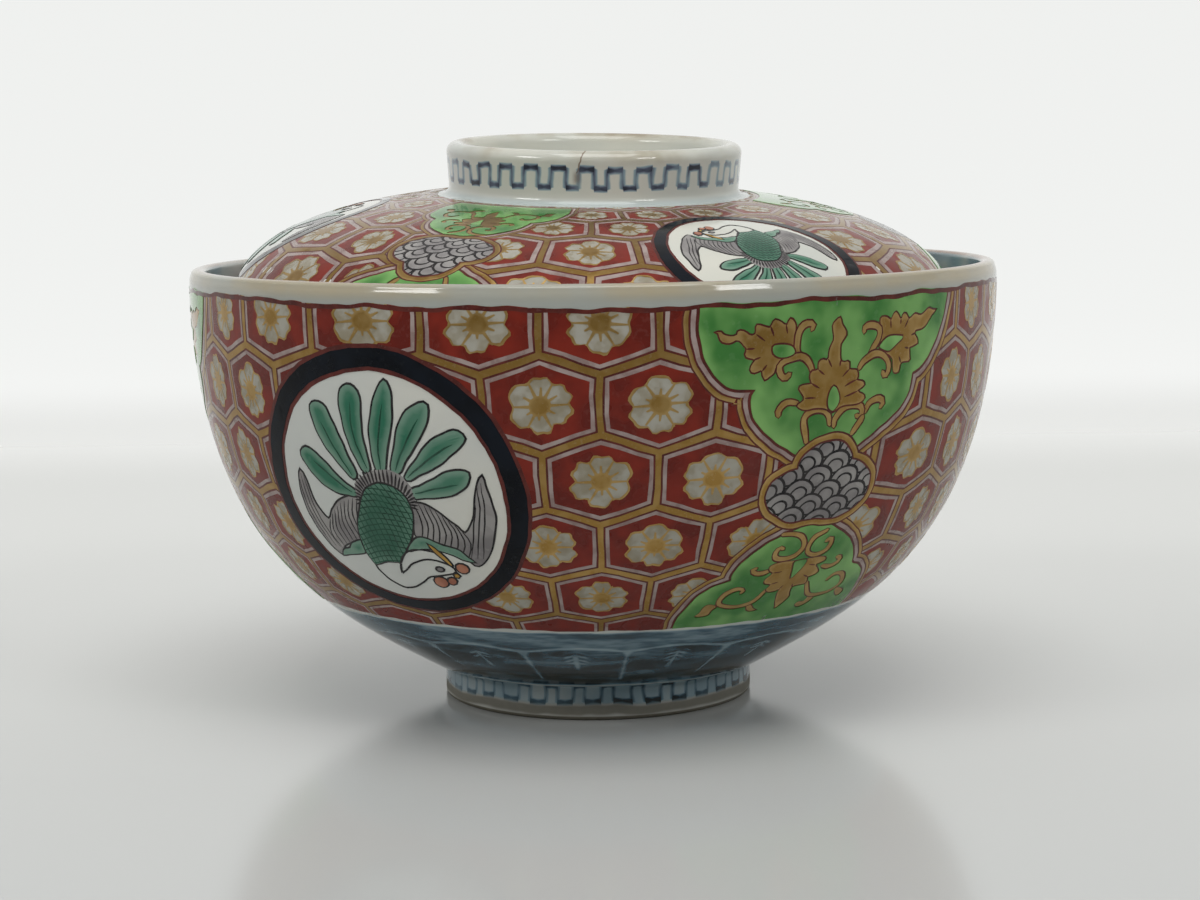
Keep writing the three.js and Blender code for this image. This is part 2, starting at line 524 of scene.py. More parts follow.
def ribbon(path: np.ndarray, width: float, start: float = 0.4, end: float = 0.4,
           swell: float = 0.0) -> np.ndarray:
    """The outline of a brush stroke.

    Args:
        path: The middle of the stroke.
        width: Its full width.
        start: Its width at the first end, as a share of the full width.
        end: Its width at the last end, as a share.
        swell: How much wider its middle is, as a share.

    Returns:
        The closed outline.
    """
    way = np.gradient(path, axis=0)
    way /= np.maximum(np.linalg.norm(way, axis=1), 1e-9)[:, None]
    side = np.stack([-way[:, 1], way[:, 0]], 1)
    t = np.linspace(0, 1, len(path))
    taper = np.minimum(1, start + t * 6 * (1 - start)) * np.minimum(1, end + (1 - t) * 6 * (1 - end))
    half = (width / 2 * taper * (1 + swell * np.sin(np.pi * t)))[:, None]
    tips = [path[-1:] + way[-1:] * half[-1:], path[:1] - way[:1] * half[:1]]
    return np.vstack([path + side * half, tips[0], (path - side * half)[::-1], tips[1]])


def within(points: np.ndarray, outline: np.ndarray) -> np.ndarray:
    """Which points an outline goes round.

    Args:
        points: The points.
        outline: The closed outline.

    Returns:
        True for each point that is inside.
    """
    x, y = points[:, 0][:, None], points[:, 1][:, None]
    x0, y0 = outline[:, 0], outline[:, 1]
    x1, y1 = np.roll(x0, -1), np.roll(y0, -1)
    left = (x1 - x0) * (y - y0) - (x - x0) * (y1 - y0)
    up = (y0 <= y) & (y1 > y) & (left > 0)
    down = (y0 > y) & (y1 <= y) & (left < 0)
    return (up.sum(1) - down.sum(1)) != 0


def clearance(points: np.ndarray, outline: np.ndarray) -> np.ndarray:
    """How far points are from an outline.

    Args:
        points: The points.
        outline: The closed outline.

    Returns:
        The distance of each point.
    """
    way = np.roll(outline, -1, 0) - outline
    gap = points[:, None] - outline[None]
    share = np.clip(np.sum(gap * way, 2) / np.maximum(np.sum(way**2, 1), 1e-12), 0, 1)
    return np.linalg.norm(gap - share[..., None] * way, axis=2).min(1)


@dataclass
class Spot:
    """Where a motif goes in the flat drawing, in degrees."""

    x: float
    y: float
    wide: float = 1.0
    high: float = 1.0

    def put(self, points: np.ndarray | Path) -> np.ndarray:
        """Moves points drawn about a motif's own middle to their place."""
        return np.array(points, float) * (self.wide, self.high) + (self.x, self.y)


@dataclass
class Coat:
    """One painted outline, and the enamels that it may cover, or None for any."""

    enamel: Enamel
    outline: np.ndarray
    over: frozenset[Enamel] | None = None


@dataclass(frozen=True)
class Flat:
    """One enamel of a drawing: its points, its triangles, and how far in from its outline each point is."""

    points: np.ndarray
    faces: np.ndarray
    inland: np.ndarray

    @classmethod
    def joined(cls, row: Sequence["Flat"], sector: float) -> "Flat":
        """Sets drawings of one enamel side by side.

        Args:
            row: The drawings, from left to right.
            sector: The width of each.

        Returns:
            All of them in one.
        """
        starts = np.cumsum([0] + [len(flat.points) for flat in row])
        return cls(
            np.vstack([flat.points + (k * sector, 0) for k, flat in enumerate(row)]),
            np.vstack([flat.faces + start for flat, start in zip(row, starts)]),
            np.concatenate([flat.inland for flat in row]),
        )


@dataclass
class Board:
    """The flat drawing of one repeat, in degrees round the form and degrees down its wall."""

    top: float
    bottom: float
    sector: float = 120.0
    left: float = 0.0
    sway: float = 0.09
    pitch: float = 1.3
    clear: float = 0.45
    coats: list[Coat] = field(default_factory=list)
    guides: list[np.ndarray] = field(default_factory=list)

    def lay(self, enamel: Enamel, outline: np.ndarray, over: Iterable[Enamel] | None = None,
            rings: Sequence[float] = ()) -> None:
        """Paints a closed outline over what is already there.

        Args:
            enamel: What it is painted with.
            outline: The outline.
            over: The enamels that it may cover, or None for any.
            rings: How far in extra points go, for a tone that changes inwards.
        """
        cover = frozenset(over) if over is not None else None
        moved = outline + self.hand(outline)
        inner = [(grow(moved, -ring)[::2], ring) for ring in rings]
        inner = [p[within(p, moved) & (clearance(p, moved) > 0.8 * ring)] for p, ring in inner]
        for shift in (-self.sector, 0.0, self.sector):
            copy = moved + (shift, 0)
            if copy[:, 0].max() > self.left - 1 and copy[:, 0].min() < self.left + self.sector + 1:
                self.coats.append(Coat(enamel, copy, cover))
                self.guides += [p + (shift, 0) for p in inner]

    def line(self, enamel: Enamel, path: np.ndarray, width: float, over: Iterable[Enamel] | None = None,
             **shape: float) -> None:
        """Paints a brush stroke along a path, with its taper and swell, over some enamels or any."""
        self.lay(enamel, ribbon(path, width, **shape), over)

    def hand(self, points: np.ndarray) -> np.ndarray:
        """How far a free hand strays at each point. It repeats from sector to sector."""
        x, y = points[:, 0] * 2 * np.pi / self.sector, points[:, 1] * 2 * np.pi / 60
        dx = np.sin(5 * x + 3 * y + 0.4) + 0.7 * np.sin(13 * x - 7 * y + 1.9) + 0.5 * np.sin(29 * x + 17 * y)
        dy = np.sin(6 * x - 2 * y + 2.2) + 0.7 * np.sin(11 * x + 8 * y + 0.3) + 0.5 * np.sin(31 * x - 15 * y)
        return np.stack([dx, dy], 1) * self.sway

    def flats(self) -> dict[Enamel, Flat]:
        """Cuts the drawing along every outline and sorts the pieces by the enamel that ends on top.

        Returns:
            What each enamel covers.
        """
        right = self.left + self.sector
        steps = np.linspace(self.top, self.bottom, int((self.bottom - self.top) / self.pitch) + 1)
        border = np.vstack([
            np.stack([np.full(len(steps), self.left), steps], 1),
            np.stack([np.full(len(steps), right), steps[::-1]], 1),
        ])
        loops = [border] + [c.outline for c in self.coats]
        points = np.vstack(loops)
        edges, start = [], 0
        for loop in loops:
            n = len(loop)
            edges += [(start + i, start + (i + 1) % n) for i in range(n)]
            start += n
        points = np.vstack([points, *self.guides])
        points = np.vstack([points, self.fillers(points)])
        verts, _, faces, *_ = delaunay_2d_cdt([Vector(p) for p in points], edges, [], 0, 1e-5, False)
        verts, tris = np.array([tuple(v) for v in verts]), np.array([f for f in faces if len(f) == 3])
        middle = verts[tris].mean(1)
        kept = np.all((middle > (self.left, self.top)) & (middle < (right, self.bottom)), axis=1)
        tris, middle = tris[kept], middle[kept]
        names = list(Enamel)
        shade, owner = np.full(len(tris), names.index(Enamel.GOLD)), np.full(len(tris), -1)
        for number, coat in enumerate(self.coats):
            low, high = coat.outline.min(0), coat.outline.max(0)
            near = np.nonzero(np.all((middle > low) & (middle < high), axis=1))[0]
            if coat.over is not None:
                near = near[np.isin(shade[near], [names.index(e) for e in coat.over])]
            if len(near):
                hit = near[within(middle[near], coat.outline)]
                shade[hit], owner[hit] = names.index(coat.enamel), number
        a, b, c = (verts[tris[:, k]] for k in range(3))
        turned = (b[:, 0] - a[:, 0]) * (c[:, 1] - a[:, 1]) - (c[:, 0] - a[:, 0]) * (b[:, 1] - a[:, 1]) > 0
        tris[turned] = tris[turned][:, ::-1]
        found = {}
        for number, enamel in enumerate(names):
            own = np.nonzero(shade == number)[0]
            if enamel is Enamel.RESERVE or not len(own):
                continue
            used, fresh = np.unique(tris[own], return_inverse=True)
            fresh, inland = fresh.reshape(-1, 3), np.ones(len(used))
            for coat in set(owner[own]) - {-1}:
                spots = np.unique(fresh[owner[own] == coat])
                inland[spots] = clearance(verts[used[spots]], self.coats[coat].outline)
            found[enamel] = Flat(verts[used], fresh, inland)
        return found

    def fillers(self, taken: np.ndarray) -> np.ndarray:
        """Extra points in the wide areas, so that the enamel follows the round wall.

        Args:
            taken: The points of the outlines.

        Returns:
            The extra points, none of them close to an outline's point.
        """
        rows = np.arange(self.top + 1, self.bottom - 0.6, self.pitch * 0.86)
        cols = np.arange(self.left + 1, self.left + self.sector - 0.6, self.pitch)
        grid = np.array([(x + (k % 2) * self.pitch / 2, y) for k, y in enumerate(rows) for x in cols])
        cell = {(int(a), int(b)) for a, b in np.floor(taken / self.clear)}
        spots = np.floor(grid / self.clear).astype(int)
        free = [all((a + i, b + j) not in cell for i in (-1, 0, 1) for j in (-1, 0, 1)) for a, b in spots]
        return grid[np.array(free) & (grid[:, 0] < self.left + self.sector - 0.6)]


# Motifs


@dataclass
class Lattice:
    """Hexagons with a flower in each, over the whole ground."""

    pitch: float
    first_x: float
    first_y: float
    row: float
    half_side: float
    apex: float
    rows: range
    edge: float = 0.4
    gap: float = 0.28
    blush: float = 1.2
    scale: float = 1.0
    squash: float = 1.0
    flower: float = 3.98
    petals: float = 3.68
    heart: float = 1.5
    buried: float = 9.0
    crowded: float = 5.0
    flowerless: int | None = None
    drifts: tuple[tuple[float, float, float, float], ...] = ()

    def drift(self, points: np.ndarray, sector: float) -> np.ndarray:
        """Moves points to where the rows run in the painter's hand.

        Args:
            points: The points.
            sector: The width of one repeat.

        Returns:
            The points, with the shift and the rise of every drift close by.
        """
        moved = points.copy()
        for middle, reach, shift, rise in self.drifts:
            off = (points[:, 0] - middle + sector / 2) % sector - sector / 2
            share = np.exp(-((off / reach) ** 2))
            moved += np.stack([share * shift, share * points[:, 1] * -rise], 1)
        return moved

    def tile(self, inset: float) -> np.ndarray:
        """One hexagon about its middle, with its sides moved in."""
        slope = (self.apex - self.half_side) / (self.pitch / 2)
        w, a = self.pitch / 2 - inset, self.apex - inset * math.hypot(1, slope)
        h = a - slope * w
        return straight([(0, -a), (w, -h), (w, h), (0, a), (-w, h), (-w, -h)], 3.0)

    def bloom(self, radius: float, number: float) -> np.ndarray:
        """The outline of a flower with six notched petals, a little different each time."""
        turn = np.linspace(0, 2 * np.pi, 54, endpoint=False)
        lean = 0.06 * math.sin(number * 2.3)
        wave = 0.075 * np.cos(6 * (turn + lean)) - 0.05 * np.cos(12 * (turn + lean))
        wave += 0.03 * np.sin(2 * turn + number) + 0.02 * np.sin(3 * turn + 1.7 * number)
        wave += 0.025 * np.sin(5 * turn + 2.9 * number) + 0.022 * np.sin(13 * turn + 1.3 * number)
        return np.stack([np.sin(turn), -np.cos(turn)], 1) * (radius * (1 + wave))[:, None]

    def spokes(self, number: int) -> list[np.ndarray]:
        """The strokes between a flower's petals and up the middle of each."""
        made = []
        for k in range(12):
            turn = math.radians(k * 30 + 30) + 0.07 * math.sin(number * 1.7 + k)
            reach = (3.5 if k % 2 == 0 else 2.35 + 0.3 * math.sin(number + 2.6 * k)) * self.scale
            way = np.array([math.sin(turn), -math.cos(turn)])
            side = np.array([way[1], -way[0]]) * 0.25 * self.scale
            tip, narrow = way * reach, side * 0.45
            made.append(np.array([way - side, tip - narrow, tip + narrow, way + side]))
        return made

    def draw(self, board: Board, hidden: Sequence[Triple]) -> None:
        """Paints the hexagons.

        Args:
            board: The drawing.
            hidden: Circles, as middle and radius, in which nothing of the lattice shows.
        """
        repeats, half = round(board.sector / self.pitch), board.sector / 2
        rims = ((Enamel.LINE, self.edge), (Enamel.BLUSH, self.edge + self.gap), (Enamel.RED, self.blush))
        for row in self.rows:
            y = self.first_y + self.row * row
            for k in range(repeats):
                x = self.first_x + self.pitch * (k + (row % 2) / 2)
                x = board.left + (x - board.left) % board.sector
                gaps = [math.hypot((x - hx + half) % board.sector - half, y - hy) - r for hx, hy, r in hidden]
                if min(gaps) < -self.buried:
                    continue
                spot, number = Spot(x, y), 31 * row + 7 * k
                shapes = [(enamel, self.tile(inset * self.scale)) for enamel, inset in rims]
                if min(gaps) > -self.crowded and row != self.flowerless:
                    flower = [(Enamel.GOLD, self.bloom(self.flower * self.scale, number))]
                    flower.append((Enamel.CREAM, self.bloom(self.petals * self.scale, number + 0.25)))
                    flower += [(Enamel.GOLD, spoke) for spoke in self.spokes(number)]
                    flower.append((Enamel.GOLD, circle((0, 0), self.heart * self.scale, 10)))
                    shapes += [(enamel, shape * (1.0, self.squash)) for enamel, shape in flower]
                for enamel, shape in shapes:
                    board.lay(enamel, self.drift(spot.put(shape), board.sector))


@dataclass
class Phoenix:
    """A displayed phoenix in a ring of dark blue. Drawn in degrees about its middle."""

    white: float = 18.2
    line: float = 18.75
    blue: float = 21.2
    rim: float = 21.75
    ink: float = 0.3
    quill: float = 0.19
    tail: float = 1.0
    root: Point = (0.2, -3.0)

    feathers: tuple[Path, ...] = (
        ((-4.5, -1.7), (-6.7, -3.3), (-9.5, -6.1), (-11.7, -7.4), (-13.0, -7.2), (-13.5, -6.4),
         (-12.7, -4.8), (-10.5, -2.3), (-8.0, -1.1), (-6.1, -0.7), (-4.5, -0.5)),
        ((-4.2, -3.2), (-6.1, -5.1), (-8.3, -7.9), (-9.5, -10.3), (-10.0, -12.3), (-9.8, -13.5),
         (-8.6, -14.0), (-7.2, -13.3), (-6.2, -11.3), (-5.1, -8.8), (-4.2, -6.3), (-3.3, -4.2)),
        ((-2.0, -4.3), (-3.3, -6.7), (-4.1, -9.2), (-4.5, -12.0), (-4.6, -14.4), (-4.2, -15.9),
         (-3.0, -16.6), (-1.6, -15.9), (-1.1, -14.4), (-1.2, -11.7), (-1.2, -8.5), (-1.0, -5.2)),
        ((-0.2, -4.9), (-0.2, -9.5), (0.3, -12.8), (1.4, -15.4), (3.0, -17.3), (3.9, -15.4), (3.8, -12.9),
         (3.0, -10.0), (2.0, -7.0), (1.3, -4.8)),
        ((2.2, -4.9), (3.3, -8.5), (4.2, -11.0), (5.8, -13.2), (7.7, -14.3), (8.8, -14.2), (8.9, -13.2),
         (8.3, -11.0), (6.7, -8.8), (5.0, -6.7), (3.5, -4.6)),
        ((4.1, -4.2), (6.1, -6.7), (8.0, -8.8), (10.5, -10.3), (12.3, -10.8), (13.4, -10.1), (13.3, -9.2),
         (11.7, -7.6), (9.5, -6.0), (7.0, -4.8), (4.9, -3.7)),
        ((4.8, -2.6), (6.4, -3.2), (8.0, -4.0), (10.5, -5.2), (12.3, -5.4), (13.9, -4.8), (13.3, -3.2),
         (11.7, -2.0), (9.5, -1.3), (7.0, -1.2), (5.0, -1.0)),
    )
    ribs: tuple[Path, ...] = (
        ((-5.2, -1.3), (-8.0, -3.2), (-11.1, -5.6)), ((-4.2, -3.8), (-6.4, -7.6), (-8.3, -11.0)),
        ((-1.5, -5.1), (-2.8, -9.5), (-2.8, -14.1)), ((0.6, -5.1), (1.2, -9.5), (2.4, -14.2)),
        ((3.0, -5.1), (5.2, -9.2), (7.4, -12.2)), ((4.7, -4.2), (8.0, -6.7), (11.7, -8.9)),
        ((5.3, -1.9), (9.2, -2.8), (12.0, -3.2)),
    )
    body: Path = (
        (0.2, -3.0), (-2.0, -2.3), (-3.6, -0.7), (-4.8, 1.5), (-6.1, 4.0), (-6.6, 6.5), (-6.4, 9.0),
        (-5.6, 11.2), (-4.8, 11.0), (-3.3, 10.4), (-1.7, 10.3), (-0.6, 10.5), (1.4, 8.0), (3.3, 5.2),
        (4.1, 3.3), (4.3, 1.2), (3.9, -0.7), (2.7, -2.3),
    )
    collar: Path = (
        (-4.5, -0.3), (-4.2, -2.6), (-2.0, -4.2), (0.2, -5.1), (3.0, -4.7), (4.7, -2.9), (5.0, -0.4),
        (4.3, -0.1), (3.9, -1.0), (2.7, -2.3), (0.2, -3.0), (-2.0, -2.3), (-3.6, -0.7),
    )
    wings: tuple[Path, ...] = (
        ((-14.5, -4.2), (-15.4, -2.6), (-15.7, -0.1), (-15.5, 3.0), (-14.8, 6.2), (-13.6, 8.7),
         (-12.0, 10.0), (-10.8, 8.3), (-9.2, 7.5), (-6.6, 6.6), (-6.1, 4.0), (-4.8, 1.5), (-4.1, -0.7),
         (-6.7, -0.5), (-8.6, 0.5), (-10.2, 1.8), (-11.1, 3.0), (-11.7, 3.2), (-12.9, 1.5), (-13.5, -0.7),
         (-13.6, -2.7)),
        ((15.5, -4.7), (16.2, -2.0), (16.6, 1.2), (16.1, 4.3), (15.2, 6.8), (13.9, 9.0), (12.3, 10.1),
         (10.2, 7.5), (8.3, 6.5), (6.1, 5.6), (3.9, 5.4), (4.1, 3.3), (4.3, 1.2), (4.2, -0.3), (5.8, -0.4),
         (7.7, 0.4), (9.2, 1.5), (10.8, 2.9), (11.6, 4.0), (12.3, 3.7), (13.3, 2.1), (13.8, -0.1),
         (14.5, -2.9)),
    )
    strips: tuple[Path, ...] = (
        ((-12.0, 10.1), (-11.1, 8.7), (-9.5, 8.2), (-8.6, 7.2), (-6.6, 6.6), (-6.6, 9.0), (-9.5, 9.6)),
        ((3.3, 5.7), (5.5, 5.2), (7.7, 6.3), (10.2, 7.1), (11.4, 8.3), (12.3, 9.4), (10.5, 8.9), (9.2, 8.2),
         (7.0, 7.6), (4.5, 7.4), (1.7, 8.0)),
    )
    neck: Path = (
        (-5.6, 11.3), (-5.1, 12.8), (-3.8, 14.6), (-2.0, 15.7), (-0.4, 15.5), (1.4, 14.6), (3.3, 13.2),
        (4.7, 12.7), (7.2, 12.2), (8.5, 11.5), (8.5, 10.8), (7.7, 10.1), (5.8, 9.5), (3.6, 9.7), (1.4, 10.7),
        (-1.0, 12.5), (-0.5, 10.4), (-1.7, 10.3), (-3.3, 10.4), (-4.8, 11.0),
    )
    nape: Path = ((-1.2, 12.5), (-0.5, 10.4), (1.0, 8.5), (3.0, 7.6), (5.5, 7.8), (7.7, 8.7))
    plume: Path = ((5.5, 6.3), (6.7, 7.3), (7.8, 8.8), (8.6, 10.5), (7.8, 10.0), (6.8, 8.8), (5.9, 7.6))
    wattles: tuple[Triple, ...] = ((5.5, 13.9, 1.25), (7.5, 13.6, 0.85), (9.9, 10.7, 1.1))
    beak: Triple = (8.5, 12.3, 0.6)
    eye: Point = (6.1, 11.2)

    def draw(self, board: Board, ring: Spot, spot: Spot) -> None:
        """Paints the ring, the white ground and the bird.

        Args:
            board: The drawing.
            ring: Where the ring goes.
            spot: Where the bird goes.
        """
        for radius, enamel in ((self.rim, Enamel.LINE), (self.blue, Enamel.NAVY), (self.line, Enamel.LINE),
                               (self.white, Enamel.RESERVE)):
            board.lay(enamel, ring.put(circle((0, 0), radius, 90)))
        for wing in self.wings:
            self.inked(board, spot, Enamel.GREY, wing)
            self.bars(board, spot, wing)
        for strip in self.strips:
            self.inked(board, spot, Enamel.TEAL, strip)
        for feather, rib in zip(self.feathers, self.ribs):
            shape, quill = ((np.array(p) - self.root) * self.tail + self.root for p in (feather, rib))
            self.inked(board, spot, Enamel.TEAL, shape, (0.5, 1.0))
            board.line(Enamel.FIR, spot.put(smooth(quill, step=1.2)), 0.26, end=0.2)
        self.barbs(board, spot)
        self.inked(board, spot, Enamel.SCALE, self.body, (0.6, 1.5))
        self.scales(board, spot)
        self.inked(board, spot, Enamel.RESERVE, self.neck)
        board.line(Enamel.BLACK, spot.put(smooth(self.nape)), self.ink)
        self.inked(board, spot, Enamel.YELLOW, self.plume)
        for x, y, r in self.wattles:
            self.inked(board, spot, Enamel.CORAL, circle((x, y), r, 8))
        x, y, r = self.beak
        self.inked(board, spot, Enamel.YELLOW, circle((x, y), r, 8))
        board.lay(Enamel.BLACK, spot.put(circle((0, 0), 1.0, 12) * (0.85, 0.62) + self.eye))
        board.lay(Enamel.GREY, spot.put(circle((0, 0), 0.55, 10) * (0.85, 0.62) + self.eye))

    def inked(self, board: Board, spot: Spot, enamel: Enamel, outline: Path,
              rings: Sequence[float] = ()) -> None:
        """Fills an outline and draws round it with black.

        Args:
            board: The drawing.
            spot: Where the bird goes.
            enamel: The fill.
            outline: The outline.
            rings: How far in extra points go.
        """
        shape = spot.put(smooth(outline, closed=True, step=0.7))
        board.lay(Enamel.BLACK, grow(shape, self.ink * 0.55))
        board.lay(enamel, grow(shape, -self.ink * 0.45), rings=rings)

    def bars(self, board: Board, spot: Spot, wing: Path) -> None:
        """The quill lines of a wing, across its arm and along its tip.

        Args:
            board: The drawing.
            spot: Where the roundel goes.
            wing: The wing's outline.
        """
        side = -1 if wing[0][0] < 0 else 1
        for k in range(9):
            t = k / 8
            high, low = (4.6 + 6.6 * t, -0.3 + 3.6 * t * t), (4.6 + 6.8 * t, 6.2 + 2.4 * t)
            bow = ((high[0] + low[0]) / 2 + 0.9, (high[1] + low[1]) / 2)
            path = smooth(np.array((high, bow, low)) * (side, 1), step=1.0)
            board.line(Enamel.BLACK, spot.put(path), self.quill, {Enamel.GREY}, swell=0.3)
        for k in range(3):
            t = (k + 0.7) / 3.4
            path = ((13.6 + 2.1 * t, -3.5), (13.2 + 2.4 * t, 1.5), (11.2 + 3.0 * t, 8.5))
            path = smooth(np.array(path) * (side, 1), step=1.2)
            board.line(Enamel.BLACK, spot.put(path), self.quill, {Enamel.GREY}, swell=0.2)

    def barbs(self, board: Board, spot: Spot) -> None:
        """The dark frill round the shoulders.

        Args:
            board: The drawing.
            spot: Where the roundel goes.
        """
        board.lay(Enamel.GREY, spot.put(smooth(self.collar, closed=True, step=0.7)))
        for k in range(27):
            turn = math.radians(-100 + 200 * k / 26)
            way = np.array([math.sin(turn), -math.cos(turn)])
            near, far = way * (3.9, 2.6) + (0.2, -0.2), way * (5.1, 4.9) + (0.2, -0.2)
            board.line(Enamel.BLACK, spot.put(np.linspace(near, far, 4)), 0.34)

    def scales(self, board: Board, spot: Spot) -> None:
        """The crossed lines over the body.

        Args:
            board: The drawing.
            spot: Where the roundel goes.
        """
        for k in range(-10, 20):
            rise = k * 0.92
            first = smooth([(-8.0, rise + 1.6), (-2.0, rise - 0.2), (5.0, rise + 0.6)], step=1.3)
            second = smooth([(-9.0 + rise, -4.0), (-5.4 + rise, 2.0), (-3.2 + rise, 12.0)], step=1.3)
            for path in (first, second):
                board.line(Enamel.FIR, spot.put(path), 0.2, {Enamel.SCALE})


@dataclass
class Cartouche:
    """An upper panel and a lower mound with gold scrolls, and a cloud of waves where they meet.

    Drawn in degrees about its middle line, with the height of the bowl's own flat drawing.
    """

    middle: float = 26.5
    brush: float = 0.74
    ink: float = 0.24
    panel_rims: tuple[tuple[float, Enamel], ...] = (
        (2.08, Enamel.LINE), (1.86, Enamel.GOLD), (1.3, Enamel.LINE), (1.02, Enamel.BLUSH),
        (0.42, Enamel.LINE), (0.0, Enamel.GREEN),
    )
    cloud_rims: tuple[tuple[float, Enamel], ...] = (
        (1.35, Enamel.LINE), (1.08, Enamel.GOLD), (0.3, Enamel.LINE), (0.0, Enamel.GREY),
    )
    wave_rings: tuple[tuple[float, float, float, Enamel], ...] = (
        (2.5, 2.05, 2.05, Enamel.BLACK), (2.12, 1.67, 2.05, Enamel.GREY), (1.4, 1.2, 2.4, Enamel.BLACK),
        (1.08, 0.88, 2.4, Enamel.GREY),
    )
    upper: tuple[Path, ...] = (
        ((-19.7, 0.5), (-19.8, 2.6), (-20.0, 5.1), (-19.2, 9.0), (-18.1, 10.9), (-16.9, 12.1),
         (-15.6, 12.75), (-14.0, 13.06), (-12.3, 13.1)),
        ((-12.4, 13.3), (-12.8, 14.1), (-12.8, 15.4), (-12.2, 16.9), (-11.0, 18.5), (-9.2, 20.1),
         (-7.5, 21.0), (-5.0, 22.4), (0.0, 23.4), (5.2, 21.0), (7.2, 19.8), (9.8, 18.3), (11.6, 16.8),
         (12.9, 15.0), (13.3, 13.4), (13.4, 12.5)),
        ((13.5, 12.3), (15.3, 11.5), (17.0, 10.0), (18.4, 8.2), (19.6, 5.6), (20.3, 3.6), (20.6, 2.4),
         (20.6, 0.5)),
    )
    mound: tuple[Path, ...] = (
        ((-19.5, 57.5), (-19.4, 54.4), (-19.3, 52.3), (-18.5, 49.4), (-16.9, 46.2), (-14.9, 44.1),
         (-13.4, 43.3), (-11.9, 42.8)),
        ((-11.8, 42.6), (-11.8, 41.4), (-11.0, 39.1), (-9.6, 37.5), (-7.4, 35.7), (-5.1, 34.5), (-2.5, 33.6),
         (0.0, 33.0), (2.4, 33.5), (5.1, 34.6), (7.0, 35.7), (9.2, 37.5), (10.8, 39.6), (11.6, 41.6),
         (12.2, 42.1)),
        ((12.4, 42.2), (14.2, 42.8), (16.3, 44.6), (17.6, 47.1), (18.8, 50.0), (19.5, 52.5), (19.6, 54.5),
         (19.6, 57.5)),
    )
    cloud: tuple[Path, ...] = (
        ((-5.0, 24.2), (-5.05, 23.5), (-4.5, 22.5), (-3.3, 21.4), (-1.8, 20.8), (-0.4, 20.6), (1.4, 20.8),
         (2.75, 21.5), (3.7, 22.8), (4.0, 23.5)),
        ((4.1, 23.6), (5.0, 23.85), (6.5, 24.6), (7.75, 25.7), (8.2, 27.0), (8.1, 28.5), (7.45, 29.9),
         (6.1, 31.1), (4.4, 32.0), (2.45, 32.4), (0.9, 32.3), (-0.4, 32.0), (-2.4, 32.2), (-3.9, 32.4),
         (-5.4, 32.2), (-7.2, 31.1), (-8.6, 29.9), (-9.3, 28.4), (-9.2, 26.9), (-8.45, 25.7), (-6.9, 24.8),
         (-5.1, 24.3)),
    )
    blooms: tuple[Path, ...] = (
        ((-18.1, 5.6), (-17.3, 5.5), (-16.8, 5.9), (-15.9, 6.1), (-15.2, 5.9), (-15.0, 5.4), (-14.5, 5.35),
         (-14.0, 5.6), (-13.5, 6.0), (-12.8, 6.1), (-12.7, 5.4), (-12.75, 4.9), (-12.4, 4.7), (-11.75, 4.9),
         (-10.75, 5.2), (-10.6, 4.9), (-10.3, 4.4), (-9.9, 4.3), (-9.25, 4.6), (-8.6, 5.0), (-8.3, 4.5),
         (-7.9, 4.2), (-7.4, 4.5), (-7.0, 5.1), (-7.1, 6.2), (-7.0, 7.6), (-7.0, 8.7), (-8.0, 9.4),
         (-9.1, 9.6), (-9.6, 10.3), (-9.8, 11.0), (-10.5, 11.55), (-11.1, 12.0), (-11.5, 11.6),
         (-11.8, 11.0), (-11.7, 10.6), (-12.6, 10.9), (-13.2, 10.75), (-13.4, 10.25), (-13.2, 9.75),
         (-12.8, 9.2), (-13.6, 9.1), (-14.2, 8.8), (-14.1, 8.3), (-13.9, 7.9), (-14.2, 7.6), (-14.75, 7.0),
         (-15.25, 6.8), (-15.9, 7.1), (-16.4, 7.15), (-17.1, 6.9), (-17.5, 6.4), (-17.7, 5.8)),
        ((17.8, 4.5), (16.95, 4.45), (16.0, 4.2), (15.2, 4.55), (14.3, 4.95), (13.1, 4.75), (12.2, 5.1),
         (11.7, 5.2), (11.35, 4.6), (10.8, 4.45), (10.4, 4.8), (10.2, 5.3), (9.7, 4.55), (9.1, 4.15),
         (8.6, 4.5), (8.2, 5.1), (7.7, 4.7), (7.0, 4.5), (6.4, 4.75), (6.35, 5.5), (6.6, 6.3), (6.6, 7.4),
         (6.2, 8.6), (7.0, 9.4), (8.1, 9.6), (8.9, 10.2), (9.05, 11.25), (9.45, 12.2), (10.5, 12.1),
         (10.75, 11.1), (11.15, 10.9), (12.5, 10.8), (12.5, 10.1), (12.3, 9.3), (12.1, 9.0), (12.6, 8.95),
         (13.7, 8.75), (14.05, 8.5), (13.8, 7.85), (13.1, 7.2), (13.4, 6.8), (14.7, 6.8), (15.6, 6.45),
         (16.4, 5.6), (16.95, 5.15), (17.6, 4.8)),
        ((-13.0, 48.5), (-14.4, 48.2), (-15.2, 48.9), (-15.5, 50.3), (-16.1, 51.2), (-15.1, 51.6),
         (-13.7, 51.2), (-13.3, 50.0), (-12.6, 49.1)),
        ((12.6, 48.0), (14.5, 48.5), (15.6, 49.4), (15.1, 50.4), (13.8, 50.0), (12.6, 48.9)),
        ((6.2, 49.0), (7.4, 49.0), (7.6, 50.2), (6.6, 51.3), (5.2, 51.8), (4.0, 50.9), (4.6, 50.1),
         (5.8, 50.3)),
        ((-6.9, 48.9), (-5.6, 49.4), (-5.0, 50.3), (-4.1, 50.9), (-5.4, 51.1), (-6.4, 50.4)),
    )
